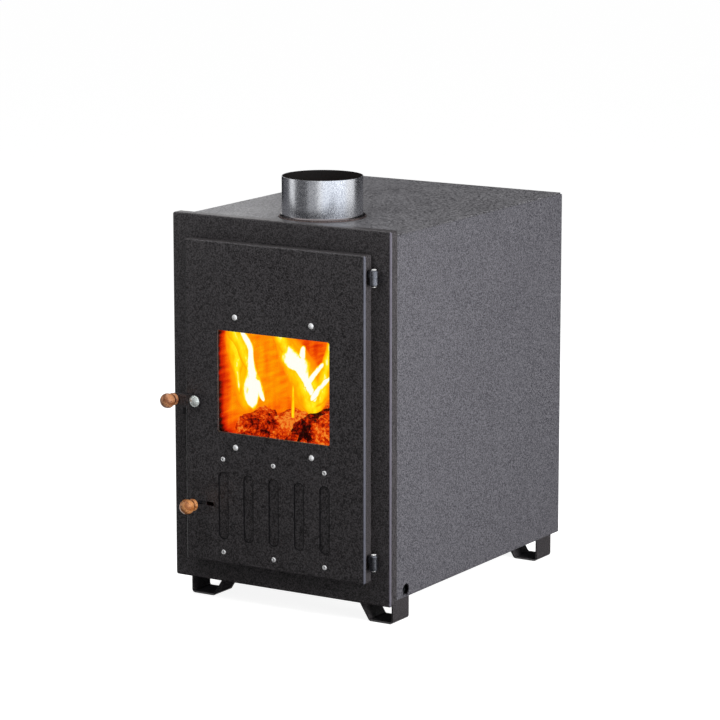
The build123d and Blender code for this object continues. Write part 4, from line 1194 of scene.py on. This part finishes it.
@dataclass
class Studio:
    """White paper, soft lamps, boards and felts that coat and metal mirror, and the camera."""

    camera_place: Triple = (3069.1, -5009.2, 1536.4)
    camera_yaw: float = 31.665
    camera_pitch: float = 11.013
    focal_length: float = 169.24
    aim: Triple = (0.0, 0.0, 350.0)
    fill: float = 0.23
    # Angle from the front towards the right and width, in degrees, distance, lower and upper edge, shade and
    # strength.
    boards: tuple[tuple[float, float, float, float, float, str, float], ...] = (
        (-32.0, 50.0, 1500.0, 0.0, 450.0, "#202022", 1.0),
        (-32.0, 50.0, 1500.0, 450.0, 2600.0, "#6c6c6e", 1.0),
        (-55.0, 18.0, 1350.0, 0.0, 2400.0, "#ffffff", 1.1),
        (-84.0, 40.0, 1600.0, 0.0, 2400.0, "#58585c", 1.0),
        (6.0, 24.0, 2000.0, 0.0, 2400.0, "#b0b0b2", 1.0),
        (64.0, 70.0, 2600.0, 0.0, 2600.0, "#f2f7ff", 1.25),
        (173.0, 90.0, 1100.0, 0.0, 2400.0, "#202022", 1.0),
        (246.0, 34.0, 1800.0, 0.0, 2400.0, "#202022", 1.0),
    )
    # The pane's inner face mirrors the boards within this angle of the front, so rays through it see them.
    pane_reach: float = 40.0
    # Height, and middle and size of each felt, just above the floor. The pane mirrors the first as well.
    felt_height: float = 3.0
    felts: tuple[tuple[float, float, float, float], ...] = (
        (-900.0, -1600.0, 3400.0, 2500.0),
        (980.0, 560.0, 1500.0, 1700.0),
        (-20.0, 20.0, 500.0, 780.0),
    )

    def build(self) -> None:
        """Sets up paper, world, lamps, boards and camera."""
        self.paper()
        self.world()
        self.lamps()
        self.flags()
        self.camera()
        bpy.context.scene.view_settings.view_transform = "Standard"

    def paper(self) -> None:
        """Lays the paper on the floor."""
        blank = Blank(bpy.ops.mesh.primitive_plane_add, size=24.0, location=(0.0, 0.0, 0.0))
        blank.close("studio_paper", StudioPaper("seamless_white_paper"))

    def world(self) -> None:
        """Surrounds the stove with a soft grey fill that looks white to the camera, to metal and to glass."""
        world = bpy.data.worlds.new("studio_room")
        bpy.context.scene.world = world
        world.use_nodes = True
        tree = world.node_tree
        tree.nodes.clear()
        soft = add(tree, "Background", {"Color": linear("#ffffff"), "Strength": self.fill})
        white = add(tree, "Background", {"Color": linear("#ffffff"), "Strength": 1.0})
        both = add(tree, "MixShader", (seen_by_eye_metal_and_glass(tree), soft, white))
        add(tree, "OutputWorld", {"Surface": both})

    def lamp(self, name: str, place: Triple, size: Pair, power: float) -> None:
        """Hangs one soft box that faces the stove.

        Args:
            name: The lamp's name.
            place: Where it hangs.
            size: Its width and height.
            power: Its power in watts.
        """
        turn = (Vector(self.aim) - Vector(place)).to_track_quat("-Z", "Y").to_euler()
        bpy.ops.object.light_add(type="AREA", location=Vector(place) * MM, rotation=turn)
        lamp = bpy.context.active_object
        lamp.name = name
        lamp.data.shape = "RECTANGLE"
        lamp.data.size = size[0] * MM
        lamp.data.size_y = size[1] * MM
        lamp.data.energy = power
        lamp.visible_glossy = False

    def lamps(self) -> None:
        """Hangs the large box on the right, the strip on the left, the box above and the key in front."""
        self.lamp("box_right", (2500.0, -500.0, 700.0), (1000.0, 1300.0), 82.0)
        self.lamp("strip_left", (-2000.0, -1000.0, 900.0), (300.0, 1600.0), 1.5)
        self.lamp("box_above", (-300.0, 500.0, 2600.0), (1600.0, 1600.0), 48.0)
        self.lamp("key_in_front", (-300.0, -1100.0, 1500.0), (500.0, 500.0), 6.5)

    def flags(self) -> None:
        """Stands the boards where the metal and the coat mirror them, and lays the felts on the floor."""
        for number, (angle, width, distance, low, high, shade, strength) in enumerate(self.boards):
            turn = math.radians(angle)
            x, y = distance * math.sin(turn), -distance * math.cos(turn)
            place = (x * MM, y * MM, (low + high) / 2 * MM)
            stand = (math.pi / 2, 0.0, turn)
            blank = Blank(bpy.ops.mesh.primitive_plane_add, size=1.0, location=place, rotation=stand)
            span = 2 * distance * math.tan(math.radians(width) / 2)
            bpy.ops.transform.resize(value=(span * MM, (high - low) * MM, 1.0), orient_type="LOCAL")
            card = StudioFlag(f"studio_board_{number}", colour=shade, strength=strength)
            self.hide(blank.close(card.name, card), abs(angle) < self.pane_reach)
        for number, (x, y, wide, deep) in enumerate(self.felts):
            place = (x * MM, y * MM, self.felt_height * MM)
            blank = Blank(bpy.ops.mesh.primitive_plane_add, size=1.0, location=place)
            bpy.ops.transform.resize(value=(wide * MM, deep * MM, 1.0))
            self.hide(blank.close(f"studio_felt_{number}", StudioFlag("studio_felt")), number == 0)

    def hide(self, board: Piece, through: bool) -> None:
        """Leaves a board to the reflections alone.

        Args:
            board: The finished board.
            through: Whether rays that leave the window pane see it, as its inner face mirrors it too.
        """
        board.visible_camera = False
        board.visible_diffuse = False
        board.visible_transmission = through
        board.visible_shadow = False

    def camera(self) -> None:
        """Stands the camera where the photograph was taken from."""
        bpy.ops.object.camera_add(
            location=Vector(self.camera_place) * MM,
            rotation=(math.radians(90.0 - self.camera_pitch), 0.0, math.radians(self.camera_yaw)),
        )
        camera = bpy.context.active_object
        camera.name = "photograph_camera"
        camera.data.lens = self.focal_length
        camera.data.sensor_width = 36.0
        camera.data.clip_end = 100.0
        bpy.context.scene.camera = camera


def main() -> None:
    """Builds the stove's looks in order."""
    logging.basicConfig(level=logging.INFO, format="%(message)s")
    random.seed(5)
    for part in (Casing(), HingeEnds(), Door(), Latch(), AirSlider(), Fire(), Studio()):
        part.build()
        LOG.info("%s is done", type(part).__name__)


if __name__ == "__main__":
    main()
